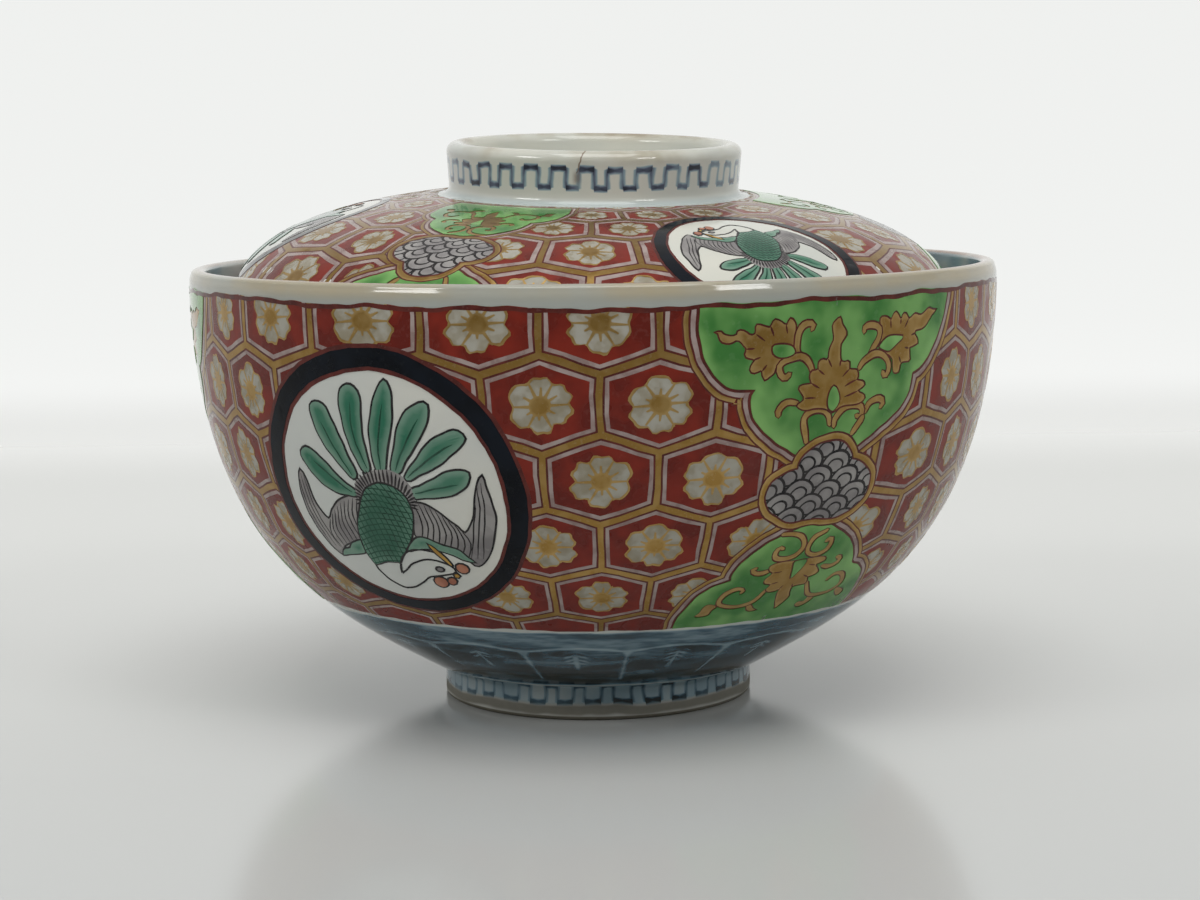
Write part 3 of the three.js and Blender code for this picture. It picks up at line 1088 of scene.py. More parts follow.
    strokes: tuple[Path, ...] = (
        ((-6.4, 9.0), (-6.8, 8.2), (-6.85, 7.2), (-6.8, 6.5), (-6.5, 5.75), (-5.9, 5.2), (-5.0, 4.95),
         (-4.4, 5.3), (-4.6, 5.8)),
        ((-4.4, 10.9), (-4.7, 10.2), (-5.4, 9.5), (-6.25, 9.1), (-7.25, 9.2), (-8.25, 9.5), (-8.95, 10.0),
         (-9.1, 10.6), (-8.8, 11.4), (-8.2, 11.7), (-7.6, 11.3)),
        ((4.6, 9.6), (5.4, 8.6), (6.0, 7.85), (6.4, 6.9), (6.2, 6.1), (5.5, 5.7), (4.5, 5.6), (3.75, 5.95),
         (3.65, 6.5)),
        ((3.05, 11.3), (3.65, 10.5), (4.85, 9.7), (6.0, 9.5), (7.2, 9.75), (8.05, 10.4), (8.3, 11.25),
         (8.1, 12.2), (7.5, 12.4), (7.2, 11.9)),
        ((-6.2, 15.0), (-7.5, 14.8), (-8.4, 15.1), (-9.0, 15.9), (-8.9, 16.6)),
        ((4.7, 17.2), (5.4, 16.1), (6.4, 15.6), (7.5, 15.6), (8.1, 16.2), (7.7, 16.6)),
        ((-4.4, 20.4), (-4.8, 19.4), (-5.2, 17.8), (-5.1, 17.0), (-4.5, 16.4), (-3.4, 16.1), (-2.1, 16.3),
         (-1.3, 17.1), (-1.0, 18.2)),
        ((-0.3, 18.6), (-0.3, 17.7), (0.25, 16.8), (1.3, 16.1), (2.6, 16.0), (3.8, 16.25), (4.3, 17.0),
         (4.0, 17.7), (3.3, 17.5)),
        ((4.5, 17.7), (3.8, 18.75), (3.0, 19.8)),
        ((-5.3, 34.4), (-3.0, 34.6), (-1.45, 35.5), (-0.9, 37.1), (-1.7, 38.45), (-3.5, 39.1), (-5.1, 38.8),
         (-5.6, 37.8), (-5.1, 36.8), (-4.5, 37.1)),
        ((2.6, 34.5), (0.8, 35.5), (0.1, 37.1), (0.6, 38.45), (2.4, 39.0), (4.0, 38.45), (4.45, 37.1),
         (4.0, 36.0), (3.3, 36.4)),
        ((-5.6, 41.2), (-6.9, 41.5), (-8.05, 41.4), (-8.7, 40.7), (-8.2, 40.4)),
        ((5.0, 41.6), (6.7, 41.9), (8.1, 41.2), (8.2, 40.3), (7.4, 40.0)),
        ((-4.5, 45.6), (-5.3, 47.5), (-6.2, 48.6), (-7.4, 49.1), (-9.2, 49.5), (-11.0, 49.1), (-12.4, 48.2),
         (-12.6, 46.9), (-11.7, 45.4), (-10.1, 44.7), (-8.9, 45.0), (-9.1, 45.7)),
        ((3.6, 45.0), (4.45, 46.9), (5.8, 48.5), (7.9, 48.9), (10.4, 48.7), (12.3, 47.3), (12.2, 45.5),
         (10.8, 44.1), (9.2, 44.1), (8.0, 45.2)),
    )
    palmettes: tuple[Path, ...] = (
        ((-0.4, 4.5), (0.0, 5.4), (0.6, 6.1), (0.75, 6.75), (0.25, 7.5), (-0.1, 8.0), (-0.05, 8.9),
         (0.1, 9.9), (0.5, 10.2), (1.15, 10.1), (1.5, 10.5), (1.5, 11.2), (2.35, 11.3), (2.85, 11.5),
         (3.0, 12.2), (2.8, 12.65), (3.9, 12.85), (4.3, 13.35), (3.8, 13.8), (3.2, 14.2), (4.2, 14.7),
         (4.45, 15.35), (3.8, 15.8), (2.6, 15.9), (1.4, 15.9), (0.2, 16.1), (-0.9, 16.6), (-2.0, 16.1),
         (-3.75, 16.0), (-5.0, 16.1), (-5.9, 15.9), (-6.4, 15.4), (-6.1, 15.05), (-5.3, 14.5), (-5.9, 13.6),
         (-6.25, 13.05), (-5.9, 12.7), (-5.0, 12.5), (-4.4, 12.5), (-4.7, 11.9), (-4.7, 11.25),
         (-4.25, 10.9), (-3.6, 10.9), (-3.6, 10.4), (-3.4, 9.75), (-2.75, 9.55), (-2.1, 9.7), (-1.9, 8.75),
         (-1.6, 8.0), (-1.2, 7.25), (-1.4, 6.5), (-1.6, 5.6), (-1.1, 4.9)),
        ((-1.7, 39.6), (-3.4, 39.6), (-5.1, 39.8), (-5.8, 40.3), (-5.7, 41.2), (-4.8, 41.7), (-5.2, 42.3),
         (-5.8, 43.0), (-5.5, 43.9), (-4.2, 44.4), (-4.6, 45.4), (-3.95, 46.2), (-2.6, 46.1), (-1.8, 45.8),
         (-1.8, 46.6), (-1.45, 48.2), (-0.8, 49.8), (-0.2, 51.2), (0.5, 50.0), (1.3, 48.2), (0.9, 46.9),
         (0.8, 45.6), (1.7, 45.4), (3.3, 45.3), (3.2, 44.2), (3.0, 43.7), (4.0, 43.5), (4.7, 42.8),
         (4.2, 41.9), (3.4, 41.2), (4.2, 40.9), (5.1, 40.5), (4.7, 39.8), (2.9, 39.5), (1.0, 39.6)),
    )
    creases: tuple[Path, ...] = (
        ((-12.5, 6.1), (-11.4, 6.9)), ((-10.7, 5.1), (-10.25, 6.25)), ((-8.6, 5.0), (-8.3, 6.05)),
        ((-13.9, 7.9), (-12.8, 7.75)), ((-12.9, 9.2), (-11.9, 8.8)), ((-11.7, 10.7), (-11.0, 9.8)),
        ((8.2, 5.1), (8.4, 6.25)), ((10.2, 5.3), (10.1, 5.9)), ((11.7, 5.3), (10.95, 6.4)),
        ((12.0, 9.0), (11.2, 8.8)), ((10.8, 10.9), (10.2, 10.0)), ((13.2, 7.1), (12.4, 7.4)),
        ((-2.0, 9.7), (-1.35, 10.7)), ((-3.5, 10.9), (-2.5, 11.6)), ((-4.3, 12.5), (-3.1, 13.3)),
        ((-5.1, 14.5), (-3.6, 14.6)), ((0.1, 9.9), (-0.1, 10.8)), ((1.5, 11.3), (0.4, 12.2)),
        ((2.7, 12.7), (0.8, 13.4)), ((3.1, 14.2), (0.8, 14.7)), ((-4.7, 41.7), (-3.0, 41.6)),
        ((-4.1, 44.3), (-2.8, 44.1)), ((-1.8, 45.8), (-1.4, 45.0)), ((3.3, 41.3), (1.9, 41.1)),
        ((3.0, 43.7), (1.9, 43.1)), ((0.8, 45.6), (0.6, 44.9)),
    )
    eyes: tuple[Path, ...] = (
        ((-10.3, 7.6), (-10.0, 7.3), (-9.1, 7.2), (-8.1, 7.4), (-7.4, 7.8), (-7.0, 8.6), (-8.0, 9.0),
         (-9.0, 9.1), (-9.7, 8.9), (-10.2, 8.4)),
        ((6.3, 8.7), (7.2, 7.7), (8.4, 7.25), (9.85, 7.2), (10.8, 7.45), (9.85, 8.2), (8.9, 8.9),
         (7.9, 9.2)),
        ((-1.0, 13.2), (-0.4, 13.6), (0.0, 14.6), (0.0, 15.5), (-0.5, 16.2), (-1.0, 16.4), (-1.6, 15.9),
         (-1.75, 14.75), (-1.5, 13.75)),
        ((-1.35, 39.7), (0.7, 39.7), (0.95, 40.7), (0.4, 42.1), (-0.55, 43.6), (-1.0, 42.1), (-1.45, 40.7)),
    )

    def draw(self, board: Board, spot: Spot) -> None:
        """Paints the panels, their scrolls and the cloud.

        Args:
            board: The drawing.
            spot: Where the middle of the cartouche goes.
        """
        self.rimmed(board, spot, self.upper, self.panel_rims)
        self.rimmed(board, spot, self.mound, self.panel_rims)
        for bloom in self.blooms:
            self.gilded(board, spot, bloom)
        for stroke in self.strokes:
            path = spot.put(smooth(self.level(stroke), step=0.55))
            board.line(Enamel.LINE, path, self.brush + self.ink * 2, start=0.75, end=0.8)
            board.line(Enamel.GOLD, path, self.brush, start=0.7, end=0.8)
        for leaf in self.palmettes:
            self.gilded(board, spot, leaf)
        for crease in self.creases:
            board.line(Enamel.LINE, spot.put(np.linspace(*self.level(crease), 4)), self.ink * 1.1)
        for eye in self.eyes:
            self.gilded(board, spot, eye, Enamel.GREEN)
        self.rimmed(board, spot, self.cloud, self.cloud_rims)
        self.waves(board, spot)

    def level(self, points: Path) -> np.ndarray:
        """Points with their height measured from the middle of the cloud."""
        return np.array(points, float) - (0, self.middle)

    def rimmed(self, board: Board, spot: Spot, runs: tuple[Path, ...],
               rims: tuple[tuple[float, Enamel], ...]) -> None:
        """Paints an outline with its rims, the widest first.

        Args:
            board: The drawing.
            spot: Where the cartouche goes.
            runs: The smooth runs of the outline, which meet at points.
            rims: How far out each rim goes, and its enamel.
        """
        outline = spot.put(np.vstack([smooth(self.level(run), step=0.7) for run in runs]))
        for out, enamel in rims:
            rings = (0.7, 1.5, 2.4) if enamel is Enamel.GREEN else ()
            board.lay(enamel, grow(outline, out * abs(spot.wide)), rings=rings)

    def gilded(self, board: Board, spot: Spot, outline: Path, enamel: Enamel = Enamel.GOLD) -> None:
        """Paints one outline with a dark edge.

        Args:
            board: The drawing.
            spot: Where the cartouche goes.
            outline: The outline.
            enamel: The fill.
        """
        shape = spot.put(smooth(self.level(outline), True, 0.45))
        board.lay(Enamel.LINE, grow(shape, self.ink * 0.6))
        board.lay(enamel, grow(shape, -self.ink * 0.4))

    def waves(self, board: Board, spot: Spot) -> None:
        """Paints rows of round waves on the cloud, the lower rows over the upper.

        Args:
            board: The drawing.
            spot: Where the cartouche goes.
        """
        ground = {Enamel.GREY, Enamel.BLACK}
        wave = circle((0, 0), 1.0, 24)
        for row in range(6):
            for k in range(-2, 3):
                x = 1.35 - 0.3 * row + 4.75 * (k + (row % 2 == 0) / 2)
                top = 19.4 + 2.2 * row + 0.1 * x - self.middle
                for wide, high, drop, enamel in self.wave_rings:
                    shape = wave * (wide, high)
                    shape[:, 0] -= 0.16 * shape[:, 1]
                    board.lay(enamel, spot.put(shape + (x, top + drop)), ground)


# Enamel on the wall


class FilmTree:
    """The geometry nodes that wrap one flat enamel round a form, as a film with a thickness."""

    INPUTS = (
        ("Rail", "NodeSocketObject"), ("Rail Step", "NodeSocketFloat"), ("Repeats", "NodeSocketInt"),
        ("Sector", "NodeSocketFloat"), ("Height", "NodeSocketFloat"), ("Sink", "NodeSocketFloat"),
        ("Place", "NodeSocketVector"), ("Lean", "NodeSocketVector"), ("Enamel", "NodeSocketMaterial"),
    )
    SINK = 0.02  # how far a film reaches into the glaze, in millimetres
    CREASE = 35.0  # edges sharper than this stay sharp, in degrees

    def __init__(self) -> None:
        """Builds the tree once, for every film."""
        self.tree = bpy.data.node_groups.new("enamel_film_on_a_turned_form", "GeometryNodeTree")
        face = self.tree.interface
        face.new_socket("Geometry", in_out="INPUT", socket_type="NodeSocketGeometry")
        self.keys = {n: face.new_socket(n, in_out="INPUT", socket_type=k).identifier for n, k in self.INPUTS}
        face.new_socket("Geometry", in_out="OUTPUT", socket_type="NodeSocketGeometry")
        self.wire()

    def wire(self) -> None:
        """Joins the tree's nodes."""
        w = Wiring(self.tree)
        given = w.node("NodeGroupInput").outputs
        step = w.out("ShaderNodeCombineXYZ", {0: given["Sector"]})
        row = w.out("GeometryNodeMeshLine", {"Count": given["Repeats"], "Offset": step}, mode="OFFSET")
        copies = w.out("GeometryNodeInstanceOnPoints", {"Points": row, "Instance": given["Geometry"]})
        flat = w.out("GeometryNodeRealizeInstances", {0: copies})
        flat = w.out("GeometryNodeMergeByDistance", {"Geometry": flat, "Distance": 1e-4})
        spot = w.node("ShaderNodeSeparateXYZ", {0: w.out("GeometryNodeInputPosition")}).outputs
        rail = w.node("GeometryNodeObjectInfo", {"Object": given["Rail"]}, transform_space="ORIGINAL")
        index, turn = w.math("DIVIDE", spot[1], given["Rail Step"]), w.math("RADIANS", spot[0])
        place, out = self.along(w, rail.outputs["Geometry"], index, turn)
        kept = w.out("GeometryNodeStoreNamedAttribute", {"Geometry": flat, "Name": "lift", "Value": out},
                     data_type="FLOAT_VECTOR", domain="POINT")
        sink = w.times(given["Sink"], -1.0)
        sunk = w.out("ShaderNodeVectorMath", {0: out, "Scale": sink}, operation="SCALE")
        root = w.out("ShaderNodeVectorMath", {0: place, 1: sunk}, operation="ADD")
        round_ = w.out("GeometryNodeSetPosition", {"Geometry": kept, "Position": root})
        lift = w.out("GeometryNodeInputNamedAttribute", {"Name": "lift"}, data_type="FLOAT_VECTOR")
        raised = w.out("GeometryNodeExtrudeMesh", {
            "Mesh": round_, "Offset": lift, "Offset Scale": w.plus(given["Height"], given["Sink"]),
            "Individual": False}, mode="FACES")
        under = w.out("GeometryNodeFlipFaces", {0: round_})
        whole = w.node("GeometryNodeJoinGeometry")
        for part in (raised, under):
            self.tree.links.new(part, whole.inputs[0])
        shut = w.out("GeometryNodeMergeByDistance", {"Geometry": whole.outputs[0], "Distance": 1e-6})
        bare = w.out("GeometryNodeRemoveAttribute", {"Geometry": shut, "Name": "lift"})
        seated = w.out("GeometryNodeTransform", {
            "Geometry": bare, "Translation": given["Place"], "Rotation": given["Lean"]})
        plain = w.out("GeometryNodeRealizeInstances", {0: seated})
        done = w.out("GeometryNodeSetMaterial", {"Geometry": plain, "Material": given["Enamel"]})
        w.node("NodeGroupOutput", {0: done})

    def along(self, w: Wiring, rail: Any, index: Any, turn: Any) -> list[Socket]:
        """Reads the rail between two of its points and turns what it says round the axis.

        Args:
            w: The tree's wiring.
            rail: The rail's geometry.
            index: The place along the rail, in points.
            turn: The angle round the axis, in radians.

        Returns:
            The place on the wall and its outward normal.
        """
        whole = w.math("FLOOR", index)
        part = w.less(index, whole)
        ahead = w.plus(whole, 1.0)
        sine, cosine = w.math("SINE", turn), w.times(w.math("COSINE", turn), -1.0)
        told = []
        normal = w.out("GeometryNodeInputNamedAttribute", {"Name": "out"}, data_type="FLOAT_VECTOR")
        for source in (w.out("GeometryNodeInputPosition"), normal):
            near, far = (
                w.out("GeometryNodeSampleIndex", {"Geometry": rail, "Value": source, "Index": i},
                      data_type="FLOAT_VECTOR", domain="POINT", clamp=True)
                for i in (whole, ahead)
            )
            between = w.node("ShaderNodeMix", {0: part, 4: near, 5: far}, data_type="VECTOR").outputs[1]
            r, _, z = w.node("ShaderNodeSeparateXYZ", {0: between}).outputs
            around = {0: w.times(r, sine), 1: w.times(r, cosine), 2: z}
            told.append(w.out("ShaderNodeCombineXYZ", around))
        return told

    def wrap(self, name: str, flat: Flat, form: TurnedForm, rail: bpy.types.Object, sector: float,
             height: float, material: bpy.types.Material) -> bpy.types.Object:
        """Makes one film.

        Args:
            name: The object's name.
            flat: What it covers in one repeat.
            form: The form that it lies on.
            rail: The form's rail.
            sector: The width of one repeat.
            height: How far it stands above the glaze, in millimetres.
            material: The enamel.

        Returns:
            The finished object, a plain mesh at the origin.
        """
        mesh = bpy.data.meshes.new(f"{name}_flat")
        mesh.from_pydata([(x, y, 0) for x, y in flat.points], [], flat.faces.tolist())
        mesh.attributes.new("inland", "FLOAT", "POINT").data.foreach_set("value", flat.inland)
        made = bpy.data.objects.new(name, mesh)
        bpy.context.scene.collection.objects.link(made)
        modifier = made.modifiers.new("film", "NODES")
        modifier.node_group = self.tree
        values = {
            "Rail": rail, "Rail Step": form.rail_step, "Repeats": round(360 / sector), "Sector": sector,
            "Height": height * MM, "Sink": self.SINK * MM, "Place": [v * MM for v in form.seat],
            "Lean": form.lean, "Enamel": material,
        }
        for label, value in values.items():
            modifier[self.keys[label]] = value
        ready = made.evaluated_get(bpy.context.evaluated_depsgraph_get())
        done = bpy.data.meshes.new_from_object(ready)
        made.modifiers.clear()
        made.data = done
        done.name = name
        bpy.data.meshes.remove(mesh)
        done.polygons.foreach_set("use_smooth", [True] * len(done.polygons))
        done.set_sharp_from_angle(angle=math.radians(self.CREASE))
        return made


# Finishes


class Effects:
    """Shader node groups that several finishes share. Each puts out masks or heights only."""

    def __init__(self) -> None:
        """Builds the groups."""
        numbers = ("Inland", "Reach", "Settle", "Mottle", "Scale", "Spots")
        self.coat = self.group("uneven_coat", ("Vector",), numbers, ("Pool", "Wear", "Height"))
        self.wire_coat()
        numbers = ("Turn", "Height", "Count", "Aspect", "Share", "Bar", "Upright", "Waver")
        self.meander = self.group("cobalt_meander", (), numbers, ("Mask",))
        self.wire_meander()

    def group(self, name: str, vectors: Sequence[str], numbers: Sequence[str],
              results: Sequence[str]) -> bpy.types.ShaderNodeTree:
        """Makes an empty group.

        Args:
            name: Its name.
            vectors: Its inputs that are vectors.
            numbers: Its inputs that are numbers.
            results: Its outputs, all numbers.

        Returns:
            The group.
        """
        tree = bpy.data.node_groups.new(name, "ShaderNodeTree")
        for label in vectors:
            tree.interface.new_socket(label, in_out="INPUT", socket_type="NodeSocketVector")
        for label in numbers:
            tree.interface.new_socket(label, in_out="INPUT", socket_type="NodeSocketFloat")
        for label in results:
            tree.interface.new_socket(label, in_out="OUTPUT", socket_type="NodeSocketFloat")
        return tree

    def wire_coat(self) -> None:
        """A hand-laid coat: where it pools, where it is rubbed thin, and its height."""
        w = Wiring(self.coat)
        given = w.node("NodeGroupInput").outputs
        feeds = {"Vector": given["Vector"], "Scale": given["Scale"], "Detail": 2.0, "Roughness": 0.5}
        broad = w.out("ShaderNodeTexNoise", feeds)
        fine = {**feeds, "Scale": w.times(given["Scale"], 6.0)}
        grain = w.out("ShaderNodeTexNoise", fine)
        cell = w.out("ShaderNodeTexVoronoi", {
            "Vector": given["Vector"], "Scale": w.times(given["Scale"], 1.6)})
        spots = w.times(w.ramp(cell, 0.12, 0.34, 1.0, 0.0), given["Spots"])
        depth = w.ramp(w.math("DIVIDE", given["Inland"], given["Reach"]), 0.0, 1.0)
        mottle = w.times(w.ramp(broad, 0.32, 0.68), given["Mottle"])
        settled = w.slope(depth, given["Settle"], mottle)
        pool = w.math("ADD", settled, spots, clamp=True)
        wear = w.ramp(w.plus(grain, w.times(broad, 0.5)), 0.86, 1.0)
        height = w.slope(grain, 0.15, w.times(pool, 0.7))
        w.node("NodeGroupOutput", {"Pool": pool, "Wear": wear, "Height": height})

    def wire_meander(self) -> None:
        """A key pattern of square waves round a band, with soft thin uprights and full, pooled bars."""
        w = Wiring(self.meander)
        given = w.node("NodeGroupInput").outputs
        height = given["Height"]
        part = w.math("FRACT", w.slope(given["Turn"], given["Count"], given["Waver"]))
        level = w.slope(w.math("LESS_THAN", part, given["Share"]), 0.78, 0.11)
        across = w.math("ABSOLUTE", w.less(height, level))
        ends = w.math("MINIMUM", part, w.less(1.0, part))
        turn = w.math("ABSOLUTE", w.less(part, given["Share"]))
        beyond = w.less(w.math("ABSOLUTE", w.less(height, 0.5)), 0.39)
        beside = w.times(w.math("MINIMUM", ends, turn), given["Aspect"])
        beside = w.slope(w.math("MAXIMUM", beyond, 0.0), 2.0, beside)
        pooled = w.ramp(w.slope(beside, 0.6, across), 0.08, 0.36, 1.0, 0.0)
        thick = w.slope(pooled, 0.04, given["Bar"])
        bar = w.ramp(w.less(across, thick), -0.12, 0.13, 0.8, 0.0)
        upright = w.ramp(w.less(beside, given["Upright"]), -0.1, 0.13, 0.66, 0.0)
        stroke = w.math("MAXIMUM", bar, upright)
        mask = w.math("MULTIPLY", stroke, w.slope(pooled, 0.4, 1.0), clamp=True)
        w.node("NodeGroupOutput", {"Mask": mask})


def new_material(name: str) -> tuple[bpy.types.Material, Wiring, bpy.types.Node]:
    """An empty material with its shader.

    Args:
        name: Its name.

    Returns:
        The material, the wiring of its tree, and its shader.
    """
    material = bpy.data.materials.new(name)
    material.use_nodes = True
    material.node_tree.nodes.clear()
    w = Wiring(material.node_tree)
    shader = w.node("ShaderNodeBsdfPrincipled")
    w.node("ShaderNodeOutputMaterial", {"Surface": shader.outputs[0]})
    return material, w, shader


@dataclass(frozen=True)
class EnamelFinish:
    """One enamel over the glaze: its colour thin and pooled, its height and its sheen."""

    thin: Colour
    pooled: Colour
    height: float
    rough: float = 0.25
    metal: float = 0.0
    scale: float = 260.0
    spots: float = 0.0
    worn: float = 0.12
    bump: float = 0.12
    mottle: float = 1.0
    settle: float = 0.0
    reach: float = 1.0
    gleam: float = 0.24

    def material(self, name: str, effects: Effects) -> bpy.types.Material:
        """The enamel's material.

        Args:
            name: Its name.
            effects: The shared groups.

        Returns:
            The material.
        """
        material, w, shader = new_material(name)
        coat = w.node("ShaderNodeGroup", {
            "Vector": w.node("ShaderNodeTexCoord").outputs["Object"],
            "Inland": w.node("ShaderNodeAttribute", attribute_name="inland").outputs["Fac"],
            "Reach": self.reach, "Settle": self.settle, "Mottle": self.mottle, "Scale": self.scale,
            "Spots": self.spots,
        }, node_tree=effects.coat).outputs
        tone = w.mix(coat["Pool"], paint(*self.thin), paint(*self.pooled))
        rubbed = tuple(min(255, int(c + (225 - c) * 0.45)) for c in self.thin)
        tone = w.mix(w.times(coat["Wear"], self.worn), tone, paint(*rubbed))
        w.feed(shader.inputs["Base Color"], tone)
        rough = w.ramp(coat["Pool"], 0, 1, self.rough + 0.08, self.rough - 0.04)
        w.feed(shader.inputs["Roughness"], rough)
        shader.inputs["Metallic"].default_value = self.metal
        shader.inputs["Specular IOR Level"].default_value = self.gleam
        facing = w.node("ShaderNodeLayerWeight", {"Blend": 0.5}).outputs["Facing"]
        w.feed(shader.inputs["Coat Weight"], w.ramp(facing, 0.7, 0.97, 0.0, 0.7))
        shader.inputs["Coat Roughness"].default_value = 0.12
        relief = {"Strength": self.bump, "Distance": 0.0002, "Height": coat["Height"]}
        w.feed(shader.inputs["Normal"], w.out("ShaderNodeBump", relief))
        return material


FINISHES: dict[Enamel, EnamelFinish] = {
    Enamel.RED: EnamelFinish((124, 36, 22), (97, 26, 16), 0.03, 0.3, scale=240.0, spots=0.1, worn=0.06),
    Enamel.LINE: EnamelFinish((96, 40, 33), (74, 28, 24), 0.04, 0.32, scale=500.0),
    Enamel.BLUSH: EnamelFinish((165, 150, 145), (138, 118, 113), 0.04, 0.3, scale=420.0),
    Enamel.CREAM: EnamelFinish((165, 162, 151), (142, 134, 114), 0.03, 0.25, scale=420.0, worn=0.05),
    Enamel.GOLD: EnamelFinish((178, 149, 96), (146, 114, 58), 0.05, 0.34, 0.85, 420.0, mottle=0.6, settle=0.6,
                              reach=0.5, gleam=0.5),
    Enamel.GREEN: EnamelFinish((128, 176, 102), (60, 118, 54), 0.11, 0.12, scale=160.0, spots=0.2, worn=0.05,
                               mottle=0.75, settle=0.3, reach=2.0),
    Enamel.NAVY: EnamelFinish((15, 21, 30), (7, 10, 16), 0.08, 0.14, scale=200.0, worn=0.03, gleam=0.14),
    Enamel.BLACK: EnamelFinish((42, 38, 38), (24, 22, 24), 0.05, 0.3, scale=500.0),
    Enamel.TEAL: EnamelFinish((116, 148, 130), (42, 107, 82), 0.1, 0.14, scale=150.0, worn=0.05, mottle=0.35,
                              settle=0.75, reach=1.2),
    Enamel.FIR: EnamelFinish((30, 76, 58), (20, 56, 42), 0.1, 0.16, scale=400.0),
    Enamel.SCALE: EnamelFinish((90, 130, 110), (46, 94, 74), 0.1, 0.14, scale=150.0, worn=0.05, mottle=0.45,
                               settle=0.6, reach=2.0),
    Enamel.GREY: EnamelFinish((152, 149, 146), (122, 118, 118), 0.06, 0.2, scale=240.0),
    Enamel.YELLOW: EnamelFinish((190, 152, 74), (150, 112, 48), 0.09, 0.18, scale=300.0),
    Enamel.CORAL: EnamelFinish((180, 124, 98), (150, 92, 70), 0.09, 0.2, scale=300.0),
}


@dataclass(frozen=True)
class Brush:
    """What a glaze is painted with: the wiring, the shared groups and the coordinates.

    The coordinates are metres in the frame, turns round the axis, and millimetres along the profile.
    """

    w: Wiring
    effects: Effects
    spot: Any
    turn: Any
    along: Any

    def window(self, value: Any, low: float, high: float, soft: float) -> Any:
        """A mask that is 1 between two values, with soft ends."""
        rise = self.w.ramp(value, low - soft, low + soft)
        return self.w.times(rise, self.w.ramp(value, high - soft, high + soft, 1.0, 0.0))

    def close(self, value: Any, to: Any, full: float, none: float) -> Any:
        """A mask that is 1 close to a value and fades out on both sides."""
        gap = self.w.math("ABSOLUTE", self.w.less(value, to))
        return self.w.ramp(gap, full, none, 1.0, 0.0)

    def both(self, *masks: Any) -> Any:
        """The product of several masks."""
        return reduce(self.w.times, masks)

    def most(self, *masks: Any) -> Any:
        """The strongest of several masks."""
        return reduce(lambda first, second: self.w.math("MAXIMUM", first, second), masks)

    def fret(self, height: Any, count: int, aspect: float, share: float, width: float, waver: Any) -> Any:
        """A band of key pattern.

        Args:
            height: 0 to 1 up the band.
            count: How many times it repeats.
            aspect: The width of one repeat over the height of the band.
            share: How much of a repeat the upper bar takes.
            width: Half the width of an upright, as a share of the band.
            waver: How far the brush strays.

        Returns:
            The mask.
        """
        mask = self.w.out("ShaderNodeGroup", {
            "Turn": self.turn, "Height": height, "Count": float(count), "Aspect": aspect, "Share": share,
            "Bar": width + 0.03, "Upright": width, "Waver": waver,
        }, node_tree=self.effects.meander)
        return self.both(mask, self.window(height, -0.06, 1.06, 0.06))


@dataclass(frozen=True)
class Marks:
    """Where a glaze has blue, stains, a warm tinge, painted shade in a greyer tone, and bare clay."""

    cobalt: Any
    rust: Any
    warm: Any
    dim: Any
    bare: Any = None


@dataclass(frozen=True)
class Glaze:
    """The clear glaze over white clay, with soft underglaze blue."""

    white: Colour = (211, 210, 200)
    cool: Colour = (199, 202, 197)
    pale: Colour = (134, 157, 166)
    blue: Colour = (63, 92, 107)
    dark: Colour = (11, 28, 32)
    tan: Colour = (168, 158, 134)
    # painted shade: a greyer tone of the same glaze, painted over the bowl's rim band and the lid's ring to
    # stand in for their shade
    shade: Colour = (160, 164, 158)
    rust: Colour = (132, 92, 62)
    clay: Colour = (112, 108, 95)
    grit: Colour = (94, 90, 78)
    rough: float = 0.08

    def material(self, form: TurnedForm, effects: Effects) -> bpy.types.Material:
        """The glaze of one form.

        Args:
            form: The form that it is on.
            effects: The shared groups.

        Returns:
            The material.
        """
        material, w, shader = new_material(f"{form.name}_glaze")
        spot = w.node("ShaderNodeTexCoord").outputs["Object"]
        turn, station, _ = w.node("ShaderNodeSeparateXYZ", {
            0: w.out("ShaderNodeUVMap", uv_map="turn")}).outputs
        marks = self.marks(Brush(w, effects, spot, turn, w.times(station, MAP_SPAN)), form)
        ground = w.mix(w.ramp(w.noise(spot, 38.0, 3.0), 0.35, 0.65), paint(*self.white), paint(*self.cool))
        # painted shade: where the dim mask is set, the glaze is mixed toward the grey shade tone
        ground = w.mix(marks.dim, ground, paint(*self.shade))
        ground = w.mix(marks.warm, ground, paint(*self.tan))
        stops = ((0.0, self.white), (0.3, self.pale), (0.68, self.blue), (1.0, self.dark))
        wash = w.node("ShaderNodeValToRGB", {0: marks.cobalt})
        while len(wash.color_ramp.elements) < len(stops):
            wash.color_ramp.elements.new(0.5)
        for element, (place, colour) in zip(wash.color_ramp.elements, stops):
            element.position = place
            element.color = paint(*colour)
        tone = w.mix(w.ramp(marks.cobalt, 0.0, 0.16), ground, wash.outputs[0])
        cell = w.out("ShaderNodeTexVoronoi", {"Vector": spot, "Scale": 95.0})
        specks = w.ramp(cell, 0.008, 0.024, 0.6, 0.0)
        specks = w.times(specks, w.ramp(w.noise(spot, 26.0), 0.48, 0.6))
        tone = w.mix(w.math("MAXIMUM", marks.rust, specks), tone, paint(*self.rust))
        shader.inputs["Roughness"].default_value = self.rough
        if marks.bare is not None:
            earth = w.mix(w.noise(spot, 900.0, 4.0), paint(*self.clay), paint(*self.grit))
            tone = w.mix(marks.bare, tone, earth)
            w.feed(shader.inputs["Roughness"], w.ramp(marks.bare, 0, 1, self.rough, 0.75))
        w.feed(shader.inputs["Base Color"], tone)
        relief = {"Strength": 0.12, "Distance": 0.0006, "Height": w.noise(spot, 70.0)}
        w.feed(shader.inputs["Normal"], w.out("ShaderNodeBump", relief))
        return material

    def marks(self, b: Brush, form: TurnedForm) -> Marks:
        """What is painted on the form, and where it is stained."""
        raise NotImplementedError


